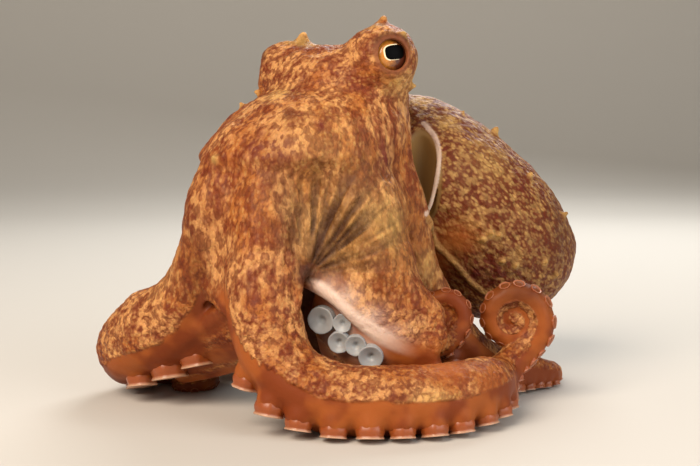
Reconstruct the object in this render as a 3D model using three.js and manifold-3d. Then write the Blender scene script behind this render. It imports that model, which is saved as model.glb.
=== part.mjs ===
// A curled octopus at rest on the floor: mantle, head, eyes, horns, funnel, arm crown,
// eight arms in four lengths each, and the webs between them.
// Millimetres, +Z up. It looks toward -Y and a little toward -X, so its own left is at +X, -Y.
// The origin is the bottom centre of the whole animal's box.

import * as THREE from 'three';
import { mergeVertices } from 'three/addons/utils/BufferGeometryUtils.js';
import Module from 'manifold-3d';

const wasm = await Module();
wasm.setup();

// ---- clearances and fineness ----

const GAP = 0.3; // between neighbouring solids
const SLIVER = 2e-3; // corners closer than this are made one
const SMOOTHED = 0.05; // corners that move the surface by less than this are left out
const FLOOR_BITE = 0.7; // the lowest flesh is pressed flat by this much
const RING_STEP = 4.4; // the least distance between two sections of an arm
const RING_SHARE = 0.95; // in a thick arm, that distance as a share of its radius
const UP = new THREE.Vector3(0, 0, 1);

// ---- head, eyes and horns ----

const HEAD_CENTRE = [-4.5, 4, 115.5];
const HEAD_HALVES = [25, 19, 13]; // across, front to back, up
const LEFTWARD = new THREE.Vector3(0.85, -0.53, 0).normalize(); // the animal's own left
const EYE_BALL_RADIUS = 8.2;
const EYE_SET_OUT = 5.2; // the ball's middle lies this far out from its brow's middle
// Each brow is the swelling of flesh that an eye sits in. The eye looks along axis.
const BROWS = {
  left: { middle: [10.8, -7, 122.6], radius: 12.2, axis: [0.58, -0.8, 0.12], horn: [11.2, -8, 133.6] },
  right: { middle: [-19.6, 13, 118.6], radius: 11.2, axis: [-0.97, 0.2, 0.12], horn: [-17.2, 10, 129] },
};
const HORN_HEIGHT = 5;
const HORN_RADIUS = 3.1;
const HORN_BURIED = 0.5; // how deep its base goes into the brow, as a share of its height

// ---- mantle ----

// Stations along the mantle's axis, from the neck to the blunt tip: x, y, z, half width, half height.
const MANTLE = [
  [11, 18, 94, 16, 17],
  [16, 25, 89, 27, 26],
  [26, 36, 80, 33, 30],
  [39, 49, 68, 37, 32],
  [51, 61, 56, 38.5, 32],
  [61, 71, 46, 35, 29],
  [67, 79, 39, 26, 22],
  [70, 84, 35, 11, 9],
];
const KEEL = 1.6; // the ridge along each side stands out by this much
const KEEL_EDGE = 0.98; // it covers what lies further out than this share of the half width
const SLIT = { middle: [25, 2, 82], halves: [6, 11, 20] }; // the gap between the mantle's edge and the neck
const FUNNEL = {
  root: [22, 40, 58],
  mouth: [8, 53, 41],
  rootRadius: 7.5,
  middle: 0.8, // the middle's radius, as a share of the root's
  mouthRadius: 4.2,
  bore: 2.4, // radius of the open mouth
  depth: 0.4, // the mouth's depth, as a share of the funnel's length
  floor: 0.6, // the radius at the bottom of the mouth, as a share of the open mouth's
};

// ---- crown: the flesh that joins the arms, under the head ----

// Level stations: z, centre x, centre y, radius.
const CROWN = [
  [113, -5, 4, 19],
  [109, -7.5, 3, 27],
  [103, -10.5, 2, 32],
  [96, -13.5, 1, 35.5],
  [89, -16.5, 0, 37],
  [83, -17.5, 0, 31],
  [80, -17.5, 0, 22],
];

// ---- arms ----

// Each arm hangs from the crown, reaches the floor and ends in a coil.
// path: x, y, z, radius along the middle of the arm, down to where the coil begins.
// coil: middle, first and last radius, turns, start and sense of the winding, and the plane it lies in.
const ARMS = {
  R1: {
    path: [
      [-33, -13, 92, 10], [-43, -17, 74, 12.5], [-47, -15, 56, 12.5], [-52, -10, 42, 13.5],
      [-60, -4, 31, 15.5], [-70, 3, 25, 16.5], [-79, 11, 18.5, 14.5], [-81, 22, 11, 10],
      [-75, 31, 7, 7], [-65, 34, 4.6, 4.6],
    ],
    coil: { middle: [-61, 25.5, 0], from: 8.6, to: 2.8, turns: 1.05, start: 100, sense: -1, flat: true },
  },
  L1: {
    path: [
      [-20, -20, 92, 10], [-26, -27, 74, 12], [-29, -32, 54, 12], [-28, -37, 35, 12.4],
      [-21, -42.5, 19, 12.2], [-6, -47, 11.8, 12], [13, -48.5, 11.2, 11.6], [32, -42, 11.2, 11.4],
      [45, -29, 12, 10.2], [50.5, -14, 11, 7], [56, -3, 11, 4.3],
    ],
    coil: { middle: [62.5, 1, 26], from: 11.8, to: 2.6, turns: 1.42, start: -100, sense: 1, flat: false },
  },
  L2: {
    path: [
      [-5, -17, 92, 10], [3, -23, 74, 13], [8, -26, 56, 13.5], [13, -26.5, 42, 12.5],
      [22, -23.5, 31, 10.2], [31.5, -18, 25, 6.6], [38, -13.5, 26, 3.6],
    ],
    coil: { middle: [36, -12.5, 33.5], from: 6.4, to: 2.2, turns: 1.02, start: -60, sense: 1, flat: false },
  },
  L3: {
    path: [
      [6, -5, 92, 9], [16, -4, 74, 11], [18, -2, 55, 12], [25, 2, 37, 11.8],
      [38, 8, 20, 10.6], [54, 16, 9, 8.8], [68, 24, 6.6, 6.4], [77, 32, 4.4, 4.6],
    ],
    coil: { middle: [70, 38, 0], from: 9, to: 2.8, turns: 1.05, start: -20, sense: 1, flat: true },
  },
  L4: {
    path: [
      [5, 8, 92, 8], [11, 15, 74, 10], [13, 21, 55, 11.5], [19, 30, 37, 11.5],
      [30, 40, 19, 10.4], [45, 48, 9, 8.6], [60, 55, 6, 6], [72, 62, 4.4, 4.4],
    ],
    coil: { middle: [66, 69, 0], from: 8.6, to: 2.8, turns: 1.05, start: -30, sense: 1, flat: true },
  },
  R4: {
    path: [
      [-6, 19, 90, 8], [-6, 27, 74, 10.5], [-5, 34, 55, 11.5], [-3, 44, 37, 11.5],
      [2, 57, 19, 10.4], [11, 70, 9, 8.6], [24, 82, 6, 6], [37, 89, 4.4, 4.4],
    ],
    coil: { middle: [40, 80, 0], from: 8.6, to: 2.8, turns: 1.05, start: 100, sense: -1, flat: true },
  },
  R3: {
    path: [
      [-20, 20, 90, 8.5], [-29, 28, 74, 11], [-33, 34, 55, 12], [-38, 45, 37, 11.6],
      [-42, 59, 19, 10.4], [-38, 74, 9, 8.6], [-27, 85, 6, 6], [-13, 89, 4.4, 4.4],
    ],
    coil: { middle: [-11, 80, 0], from: 8.6, to: 2.8, turns: 1.05, start: 95, sense: -1, flat: true },
  },
  R2: {
    path: [
      [-33, 6, 92, 9], [-44, 11, 74, 11.5], [-48.5, 17, 55, 12], [-53, 29, 37, 11.5],
      [-60, 43, 20, 11], [-70, 54, 9.4, 9], [-81, 63, 6.4, 6.4], [-85, 74, 4.6, 4.6],
    ],
    coil: { middle: [-76, 77, 0], from: 8.8, to: 2.8, turns: 1.05, start: 190, sense: -1, flat: true },
  },
};
// The suckers stand in one row. These stretches of it are turned outward, toward oral.
const SUCKER_ROWS = {
  L1: { from: 0.24, to: 0.52, oral: [0.05, -0.8, -0.6] },
  R1: { from: 0.36, to: 0.56, oral: [0.15, -0.6, -0.8] },
  L2: { from: 0.36, to: 0.5, oral: [-0.62, -0.35, -0.7] },
};
const SUCKER_SHARE = 0.4; // a sucker's radius, as a share of its arm's
const SUCKER_PITCH = 2.3; // the step along the row, in sucker radii
const SUCKER_RISE = 2.2; // how far a sucker stands out of its arm
const SUCKER_ROOT = 0.7; // its root's size and depth, as a share of the rim's size and the arm's radius
const ARM_ORDER = ['R1', 'L1', 'L2', 'L3', 'L4', 'R4', 'R3', 'R2'];
const TIP_RADIUS = 1.3;
const COIL_STATIONS = 9; // in each turn of a coil
const LENGTHS = [ // each arm's four lengths: name, where it ends along the arm, sides of its section
  ['base', 0.27, 10],
  ['middle', 0.5, 8],
  ['outer', 0.73, 8],
  ['tip', 1, 6],
];

// ---- webs ----

const WEB_THICKNESS = 3;
const WEB_HEART = [-17, 0, 4]; // the point under the crown that the webs swell away from
const WEB_RAISED = 0.55; // it lies this share of the arm's radius out from the arm's middle line
const WEB_START = 0.06; // the webs begin this far down their reach, inside the crown
// Between each two neighbouring arms: how far down each arm it reaches (0 to 1), how far its
// free edge is drawn up between them, and how far it swells outward, mm.
const WEBS = [
  ['R1', 'L1', 0.42, 0.3, 0.2, 4],
  ['L1', 'L2', 0.28, 0.36, 0.3, 3],
  ['L2', 'L3', 0.36, 0.26, 0.25, 4],
  ['L3', 'L4', 0.36, 0.38, 0.25, 3.5],
  ['L4', 'R4', 0.42, 0.42, 0.2, 1],
  ['R4', 'R3', 0.4, 0.4, 0.25, 3.4],
  ['R3', 'R2', 0.4, 0.4, 0.25, 3.3],
  ['R2', 'R1', 0.37, 0.33, 0.25, 4],
];

// ---- finishes ----

const FLESH = { color: 0xb4683a, roughness: 0.55 };
const WEB_FLESH = { color: 0x9c4f24, roughness: 0.5 };
const EYE = { color: 0x16100c, roughness: 0.12 };
const HORN = { color: 0xa98446, roughness: 0.6 };

// ---- solids ----

const vec = (a) => new THREE.Vector3(a[0], a[1], a[2]);

/** A manifold solid from a closed three.js geometry. */
function toSolid(geometry, tolerance = 1e-4) {
  const bare = geometry.clone();
  bare.deleteAttribute('normal');
  bare.deleteAttribute('uv');
  const merged = mergeVertices(bare, tolerance);
  const mesh = new wasm.Mesh({
    numProp: 3,
    vertProperties: new Float32Array(merged.attributes.position.array),
    triVerts: new Uint32Array(merged.index.array),
  });
  return new wasm.Manifold(mesh);
}

/** A three.js geometry from the largest piece of a manifold solid, without slivers. */
function toGeometry(solid) {
  const largest = (whole) => whole.decompose().sort((a, b) => b.volume() - a.volume())[0];
  const bareGeometry = (piece) => {
    const mesh = piece.getMesh();
    const geometry = new THREE.BufferGeometry();
    geometry.setAttribute('position', new THREE.BufferAttribute(new Float32Array(mesh.vertProperties), 3));
    geometry.setIndex(new THREE.BufferAttribute(new Uint32Array(mesh.triVerts), 1));
    return geometry;
  };
  const rough = bareGeometry(largest(solid.simplify(SMOOTHED)));
  const geometry = bareGeometry(largest(toSolid(rough, SLIVER)).simplify(SMOOTHED));
  geometry.computeVertexNormals();
  return geometry;
}

/** A closed solid through rings of points, with a fan of triangles at each end. */
function loftRings(rings) {
  const sides = rings[0].length;
  const middleOf = (ring) => ring.reduce((sum, p) => sum.add(p), new THREE.Vector3()).divideScalar(sides);
  const points = rings.flat();
  const first = points.length;
  const last = first + 1;
  points.push(middleOf(rings[0]), middleOf(rings[rings.length - 1]));
  const index = [];
  for (let i = 0; i < sides; i += 1) {
    const j = (i + 1) % sides;
    index.push(first, j, i);
    for (let r = 0; r < rings.length - 1; r += 1) {
      const a = r * sides;
      const b = a + sides;
      index.push(a + i, a + j, b + j, a + i, b + j, b + i);
    }
    const end = (rings.length - 1) * sides;
    index.push(last, end + i, end + j);
  }
  const geometry = new THREE.BufferGeometry().setFromPoints(points);
  geometry.setIndex(index);
  const solid = toSolid(geometry);
  if (solid.volume() > 0) return solid;
  geometry.setIndex(index.reverse()); // the rings ran the other way, so the faces pointed inward
  return toSolid(geometry);
}

/** An ellipse of points about a middle, spanned by two half axes. */
function ellipse(middle, across, through, sides) {
  const ring = [];
  for (let i = 0; i < sides; i += 1) {
    const angle = ((i + 0.5) / sides) * 2 * Math.PI;
    const point = middle.clone().addScaledVector(across, Math.cos(angle));
    ring.push(point.addScaledVector(through, Math.sin(angle)));
  }
  return ring;
}

function ballAt(centre, radius, across = 10, down = 7) {
  const geometry = new THREE.SphereGeometry(radius, across, down);
  geometry.translate(centre[0], centre[1], centre[2]);
  return toSolid(geometry);
}

function blobAt(centre, halves, turn, across = 16, down = 12) {
  const geometry = new THREE.SphereGeometry(1, across, down);
  geometry.rotateX(Math.PI / 2);
  geometry.scale(halves[0], halves[1], halves[2]);
  geometry.rotateZ(turn);
  geometry.translate(centre[0], centre[1], centre[2]);
  return toSolid(geometry);
}

/** Everything above the floor level. */
const ABOVE_FLOOR = (() => {
  const geometry = new THREE.BoxGeometry(600, 600, 300);
  geometry.translate(0, 0, 150);
  return toSolid(geometry);
})();

// ---- arms ----

/** The points and radii of a coil that winds inward, lying flat or standing on edge. */
function coilStations(coil, startRadius) {
  const steps = Math.ceil(coil.turns * COIL_STATIONS);
  const stations = [];
  for (let i = 1; i <= steps; i += 1) {
    const share = i / steps;
    const angle = THREE.MathUtils.degToRad(coil.start + coil.sense * 360 * coil.turns * share);
    const reach = THREE.MathUtils.lerp(coil.from, coil.to, share);
    const u = Math.cos(angle) * reach;
    const w = Math.sin(angle) * reach;
    const radius = THREE.MathUtils.lerp(startRadius, TIP_RADIUS, share);
    const [x, y, z] = coil.middle;
    stations.push(coil.flat ? [x + u, y + w, radius - FLOOR_BITE, radius] : [x + u, y, z + w, radius]);
  }
  return stations;
}

/** The middle line of an arm, with the radius at any share of its length. */
function armLine(name) {
  const arm = ARMS[name];
  const stations = [...arm.path, ...coilStations(arm.coil, arm.path.at(-1)[3])];
  stations.forEach((station) => {
    station[2] = Math.max(station[2], station[3] - FLOOR_BITE);
  });
  const curve = new THREE.CatmullRomCurve3(stations.map(vec), false, 'centripetal');
  curve.arcLengthDivisions = 600;
  const last = stations.length - 1;
  const radiusAt = (u) => {
    const t = curve.getUtoTmapping(u) * last;
    const i = Math.min(Math.floor(t), last - 1);
    return THREE.MathUtils.lerp(stations[i][3], stations[i + 1][3], t - i);
  };
  return { name, curve, radiusAt, length: curve.getLength() };
}

const lines = Object.fromEntries(ARM_ORDER.map((name) => [name, armLine(name)]));

/** Part of an arm as a solid, from one share of its length to another. */
function armSolid(line, from, to, sides, grow = 0) {
  const rings = [];
  const whole = 120;
  const frames = line.frames ?? (line.frames = line.curve.computeFrenetFrames(whole, false));
  const meanRadius = (line.radiusAt(from) + line.radiusAt(to)) / 2;
  const step = Math.max(RING_STEP, meanRadius * RING_SHARE);
  const steps = Math.max(4, Math.round(((to - from) * line.length) / step));
  for (let i = 0; i <= steps; i += 1) {
    const u = THREE.MathUtils.lerp(from, to, i / steps);
    const frame = Math.round(u * whole);
    const radius = line.radiusAt(u) + grow;
    const across = frames.binormals[frame].clone().multiplyScalar(radius);
    const through = frames.normals[frame].clone().multiplyScalar(radius);
    rings.push(ellipse(line.curve.getPointAt(u), across, through, sides));
  }
  return loftRings(rings).intersect(ABOVE_FLOOR);
}

/** The suckers that stand out of one length of an arm, as one solid, or nothing. */
function suckerSolids(name, from, to, grow = 0) {
  const row = SUCKER_ROWS[name];
  const line = lines[name];
  const suckers = [];
  if (!row) return suckers;
  const oral = vec(row.oral).normalize();
  let u = row.from;
  while (u < row.to) {
    const radius = line.radiusAt(u) * SUCKER_SHARE;
    const room = radius / line.length;
    if (u - room > from && u + room < to) {
      const along = line.curve.getTangentAt(u);
      const out = oral.clone().addScaledVector(along, -oral.dot(along)).normalize();
      const side = new THREE.Vector3().crossVectors(out, along);
      const foot = line.curve.getPointAt(u);
      const ringAt = (height, size) => ellipse(foot.clone().addScaledVector(out, height),
        along.clone().multiplyScalar(size + grow), side.clone().multiplyScalar(size + grow), 5);
      const reach = line.radiusAt(u);
      const root = ringAt(reach * SUCKER_ROOT, radius * SUCKER_ROOT);
      suckers.push(loftRings([root, ringAt(reach + SUCKER_RISE + grow, radius)]));
    }
    u += (SUCKER_PITCH * radius) / line.length;
  }
  return suckers;
}

/** The room that an arm's first three lengths take, with the gap round them. */
function armRoom(line) {
  const room = [];
  for (const place of [0, 1, 2]) {
    const from = place === 0 ? 0 : LENGTHS[place - 1][1];
    const [, to, sides] = LENGTHS[place];
    room.push(armSolid(line, from, to, sides), armSolid(line, from, to, sides, GAP));
    room.push(...suckerSolids(line.name, from, to, GAP));
  }
  return room;
}

// ---- webs ----

/** The sheet of skin between two arms, drawn up between them at its free edge. */
function webSolid([first, second, reachFirst, reachSecond, drawnUp, swell]) {
  const down = 6;
  const across = 4;
  const a = lines[first];
  const b = lines[second];
  const outward = (point) => point.clone().sub(vec(WEB_HEART)).normalize();
  const pointAt = (i, j, lift) => {
    const t = j / across;
    const arch = 4 * t * (1 - t);
    const s = THREE.MathUtils.lerp(WEB_START, 1 - drawnUp * arch, i / down);
    const point = a.curve.getPointAt(s * reachFirst).lerp(b.curve.getPointAt(s * reachSecond), t);
    const raised = a.radiusAt(s * reachFirst) * WEB_RAISED;
    return point.addScaledVector(outward(point), swell * arch + raised + lift);
  };
  const rings = [];
  for (let i = 0; i <= down; i += 1) {
    const ring = [];
    for (let j = 0; j <= across; j += 1) {
      ring.push(pointAt(i, j, WEB_THICKNESS / 2));
    }
    for (let j = across; j >= 0; j -= 1) {
      ring.push(pointAt(i, j, -WEB_THICKNESS / 2));
    }
    rings.push(ring);
  }
  return loftRings(rings).intersect(ABOVE_FLOOR);
}

// ---- the parts ----

const group = new THREE.Group();

function addPart(name, solid, finish) {
  const material = new THREE.MeshStandardMaterial({ ...finish, metalness: 0 });
  const mesh = new THREE.Mesh(toGeometry(solid), material);
  mesh.name = name;
  group.add(mesh);
}

/** The mantle's sac, with a ridge along each side. */
function mantleSolid(grow = 0) {
  const curve = new THREE.CatmullRomCurve3(MANTLE.map(vec), false, 'centripetal');
  const rings = [];
  const steps = 12;
  const sides = 18;
  for (let i = 0; i <= steps; i += 1) {
    const t = i / steps;
    const station = t * (MANTLE.length - 1);
    const low = Math.min(Math.floor(station), MANTLE.length - 2);
    const [here, next] = [MANTLE[low], MANTLE[low + 1]];
    const size = (column) => THREE.MathUtils.lerp(here[column], next[column], station - low) + grow;
    const along = curve.getTangent(t);
    const side = new THREE.Vector3().crossVectors(along, UP).normalize();
    const top = new THREE.Vector3().crossVectors(side, along);
    const middle = curve.getPoint(t);
    const ring = ellipse(middle, side.clone().multiplyScalar(size(3)), top.multiplyScalar(size(4)), sides);
    ring.forEach((point) => {
      const offset = point.clone().sub(middle);
      const onKeel = Math.abs(offset.dot(side)) > size(3) * KEEL_EDGE;
      point.addScaledVector(offset.normalize(), onKeel ? KEEL : 0);
    });
    rings.push(ring);
  }
  return loftRings(rings);
}

function crownSolid(grow = 0) {
  const sides = 18;
  const rings = CROWN.map(([z, x, y, radius]) => ellipse(new THREE.Vector3(x, y, z),
    new THREE.Vector3(radius + grow, 0, 0), new THREE.Vector3(0, -(radius + grow), 0), sides));
  return loftRings(rings);
}

function headSolid(grow = 0) {
  const turn = Math.atan2(LEFTWARD.y, LEFTWARD.x);
  const halves = HEAD_HALVES.map((half) => half + grow);
  const skull = blobAt(HEAD_CENTRE, halves, turn, 13, 7);
  const [left, right] = Object.values(BROWS).map((brow) => ballAt(brow.middle, brow.radius + grow, 10, 7));
  return skull.add(left).add(right);
}

function hornSolid(foot) {
  const buried = HORN_HEIGHT * HORN_BURIED;
  const geometry = new THREE.ConeGeometry(HORN_RADIUS, HORN_HEIGHT + buried, 8);
  geometry.rotateX(Math.PI / 2);
  geometry.translate(foot[0], foot[1], foot[2] + (HORN_HEIGHT - buried) / 2);
  return toSolid(geometry);
}

/** The funnel: a soft tube that tapers to an open mouth. */
function funnelSolid(grow = 0) {
  const root = vec(FUNNEL.root);
  const mouth = vec(FUNNEL.mouth);
  const along = mouth.clone().sub(root).normalize();
  const side = new THREE.Vector3().crossVectors(along, UP).normalize();
  const top = new THREE.Vector3().crossVectors(side, along);
  const ringAt = (share, radius) => ellipse(root.clone().lerp(mouth, share),
    side.clone().multiplyScalar(radius + grow), top.clone().multiplyScalar(radius + grow), 10);
  const tube = loftRings([ringAt(0, FUNNEL.rootRadius), ringAt(0.5, FUNNEL.rootRadius * FUNNEL.middle),
    ringAt(1, FUNNEL.mouthRadius)]);
  const bore = loftRings([ringAt(1 - FUNNEL.depth, FUNNEL.bore * FUNNEL.floor), ringAt(1.1, FUNNEL.bore)]);
  return grow > 0 ? tube : tube.subtract(bore);
}

const crownRoom = crownSolid(GAP);
const headRoom = headSolid(GAP);
const mantleRoom = mantleSolid(GAP);

const slit = blobAt(SLIT.middle, SLIT.halves, 0, 10, 8);

addPart('mantle', mantleSolid().subtract(crownRoom).subtract(headRoom).subtract(slit), FLESH);
addPart('arm_crown', crownSolid().subtract(headRoom), FLESH);

let head = headSolid();
for (const [side, brow] of Object.entries(BROWS)) {
  const centre = vec(brow.middle).addScaledVector(vec(brow.axis).normalize(), EYE_SET_OUT).toArray();
  head = head.subtract(ballAt(centre, EYE_BALL_RADIUS + GAP));
  addPart(`eye_${side}`, ballAt(centre, EYE_BALL_RADIUS), EYE);
  addPart(`horn_${side}`, hornSolid(brow.horn).subtract(headRoom), HORN);
}
addPart('head', head, FLESH);

/** A solid without what lies in any of several rooms. */
function clearOf(solid, rooms) {
  let left = solid;
  for (const room of rooms) {
    left = left.subtract(room);
    if (left.isEmpty()) throw new Error('a part lies wholly inside its neighbours');
  }
  return left;
}

const bodyRooms = [crownRoom, mantleRoom];
const armRooms = {};
ARM_ORDER.forEach((name, place) => {
  const around = [ARM_ORDER[place - 1], ARM_ORDER[(place + 1) % ARM_ORDER.length]];
  const beside = around.flatMap((other) => armRooms[other] ?? []).concat(bodyRooms);
  let before = [];
  let from = 0;
  for (const [length, to, sides] of LENGTHS) {
    let flesh = armSolid(lines[name], from, to, sides);
    suckerSolids(name, from, to).forEach((sucker) => {
      flesh = flesh.add(sucker);
    });
    const solid = clearOf(flesh.intersect(ABOVE_FLOOR), [...beside, ...before]);
    addPart(`arm_${name}_${length}`, solid, FLESH);
    before = [armSolid(lines[name], from, to, sides, GAP)];
    from = to;
  }
  armRooms[name] = armRoom(lines[name]);
});

addPart('funnel', clearOf(funnelSolid(), [...bodyRooms, ...armRooms.R4, ...armRooms.L4]), FLESH);

for (const web of WEBS) {
  const rooms = [...bodyRooms, ...armRooms[web[0]], ...armRooms[web[1]], funnelSolid(GAP)];
  addPart(`web_${web[0]}_${web[1]}`, clearOf(webSolid(web), rooms), WEB_FLESH);
}

// ---- the origin: the bottom centre of the whole box ----

const box = new THREE.Box3().setFromObject(group);
group.position.set(-(box.min.x + box.max.x) / 2, -(box.min.y + box.max.y) / 2, -box.min.z);

export default group;
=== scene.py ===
"""Shows the resting octopus: one skin over the whole animal, its suckers and its eyes.

Sizes in the tables are millimetres in the modeller's own frame. The skin is worked out there,
as one distance field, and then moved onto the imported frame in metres.
"""

import math

import bmesh
import bpy
import numpy as np
import openvdb as vdb
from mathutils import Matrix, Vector


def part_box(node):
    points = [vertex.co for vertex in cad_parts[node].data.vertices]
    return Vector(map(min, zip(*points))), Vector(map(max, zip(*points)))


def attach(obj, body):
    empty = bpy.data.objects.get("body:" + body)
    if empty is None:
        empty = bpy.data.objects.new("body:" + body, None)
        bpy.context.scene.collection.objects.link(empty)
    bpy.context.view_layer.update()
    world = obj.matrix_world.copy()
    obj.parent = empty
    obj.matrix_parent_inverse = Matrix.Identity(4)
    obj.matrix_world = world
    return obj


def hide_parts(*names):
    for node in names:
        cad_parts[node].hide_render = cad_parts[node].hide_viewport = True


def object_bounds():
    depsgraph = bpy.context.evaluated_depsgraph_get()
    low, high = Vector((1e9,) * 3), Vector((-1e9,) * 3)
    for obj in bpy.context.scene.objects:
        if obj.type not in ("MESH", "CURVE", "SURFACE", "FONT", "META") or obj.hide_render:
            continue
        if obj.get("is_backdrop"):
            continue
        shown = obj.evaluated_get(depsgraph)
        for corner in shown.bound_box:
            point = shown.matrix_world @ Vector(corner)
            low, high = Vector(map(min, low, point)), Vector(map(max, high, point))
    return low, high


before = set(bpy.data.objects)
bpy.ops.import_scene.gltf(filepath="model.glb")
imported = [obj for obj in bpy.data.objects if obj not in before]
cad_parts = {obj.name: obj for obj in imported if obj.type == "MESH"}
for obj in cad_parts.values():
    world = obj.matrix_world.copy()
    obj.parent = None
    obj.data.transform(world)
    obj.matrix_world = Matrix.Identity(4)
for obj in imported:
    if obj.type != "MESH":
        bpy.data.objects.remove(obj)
CAD_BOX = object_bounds()

bl_info = {
    "name": "Resting octopus",
    "version": (1, 0, 0),
    "blender": (4, 5, 0),
    "location": "3D View > Sidebar > Octopus",
    "description": "Builds the skin, suckers, eyes and studio of a resting octopus",
    "category": "Object",
}

MM = 0.001
UP = np.array([0.0, 0.0, 1.0])
LEVEL = np.array([1, 1, 0])

# ---- head, eyes and horns ----

HEAD_CENTRE = np.array([-4.5, 4, 115.5])
HEAD_HALVES = (25, 19, 13)  # across, front to back, up
LEFTWARD = (0.85, -0.53)  # the animal's own left, level
EYE_BALL_RADIUS = 8.2
EYE_SET_OUT = 5.2  # the ball's middle lies this far out from its brow's middle
EYE_OPENING = 5.3  # radius of the opening between the lids
LID_THICKNESS = 1.2
SOCKET_GAP = 0.1
EYE_WINDOW = 16  # the lids and their opening are worked out this far from the ball's middle
# The folds of the lids: how far each lies outside the opening, how far forward, its thickness.
LID_FOLDS = [(0.6, 0.0, 0.7), (2.0, -0.9, 0.55)]
EYE_LOOKS = {"left": (0.36, -0.93, 0.08), "right": (-0.9, -0.05, 0.1)}  # the way that each eye looks
EYE_EASED = {"left": (-2.2, 0, 0), "right": (0, 0, 0)}  # how far an eyeball lies off its brow's axis
BROWS = {
    "left": {
        "middle": (10.8, -7, 122.6), "radius": 12.2, "axis": (0.58, -0.8, 0.12), "horn": (11.2, -8, 133.6)
    },
    "right": {
        "middle": (-19.6, 13, 118.6), "radius": 11.2, "axis": (-0.97, 0.2, 0.12), "horn": (-17.2, 10, 129)
    },
}
HORN_HEIGHT = 4.4
HORN_RADIUS = 3.3
HORN_TIP = 1.5  # radius
HORN_LEAN = 0.4
HORN_SUNK = 1.5

# ---- mantle, crown and funnel ----

# Along the mantle's axis, from the neck to the blunt tip: x, y, z, half width, half height.
MANTLE = [
    (11, 18, 94, 16, 17),
    (16, 25, 89, 27, 26),
    (26, 36, 80, 33, 30),
    (39, 49, 68, 37, 32),
    (51, 61, 56, 38.5, 32),
    (61, 71, 46, 35, 29),
    (67, 79, 39, 26, 22),
    (70, 84, 35, 11, 9),
    (70.7, 85.2, 33.9, 0.5, 0.5),
]
SLIT = {"middle": (26, 3, 81.5), "halves": (6.4, 11.5, 21.5)}
# The bore's two radii, how far down the funnel it starts, as a share, and how far past the mouth it runs.
FUNNEL = {
    "root": (22, 40, 58), "mouth": (8, 53, 41), "root_radius": 7.5, "mouth_radius": 4.2,
    "bore": (1.68, 3.12), "depth": 0.4, "beyond": 6,
}
# Level stations of the flesh that joins the arms: z, centre x, centre y, radius.
CROWN = [
    (113, -5, 4, 19),
    (109, -7.5, 3, 27),
    (103, -10.5, 2, 32),
    (96, -13.5, 1, 35.5),
    (89, -16.5, 0, 37),
    (83, -17.5, 0, 31),
    (80, -17.5, 0, 22),
]

# ---- arms ----

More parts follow.
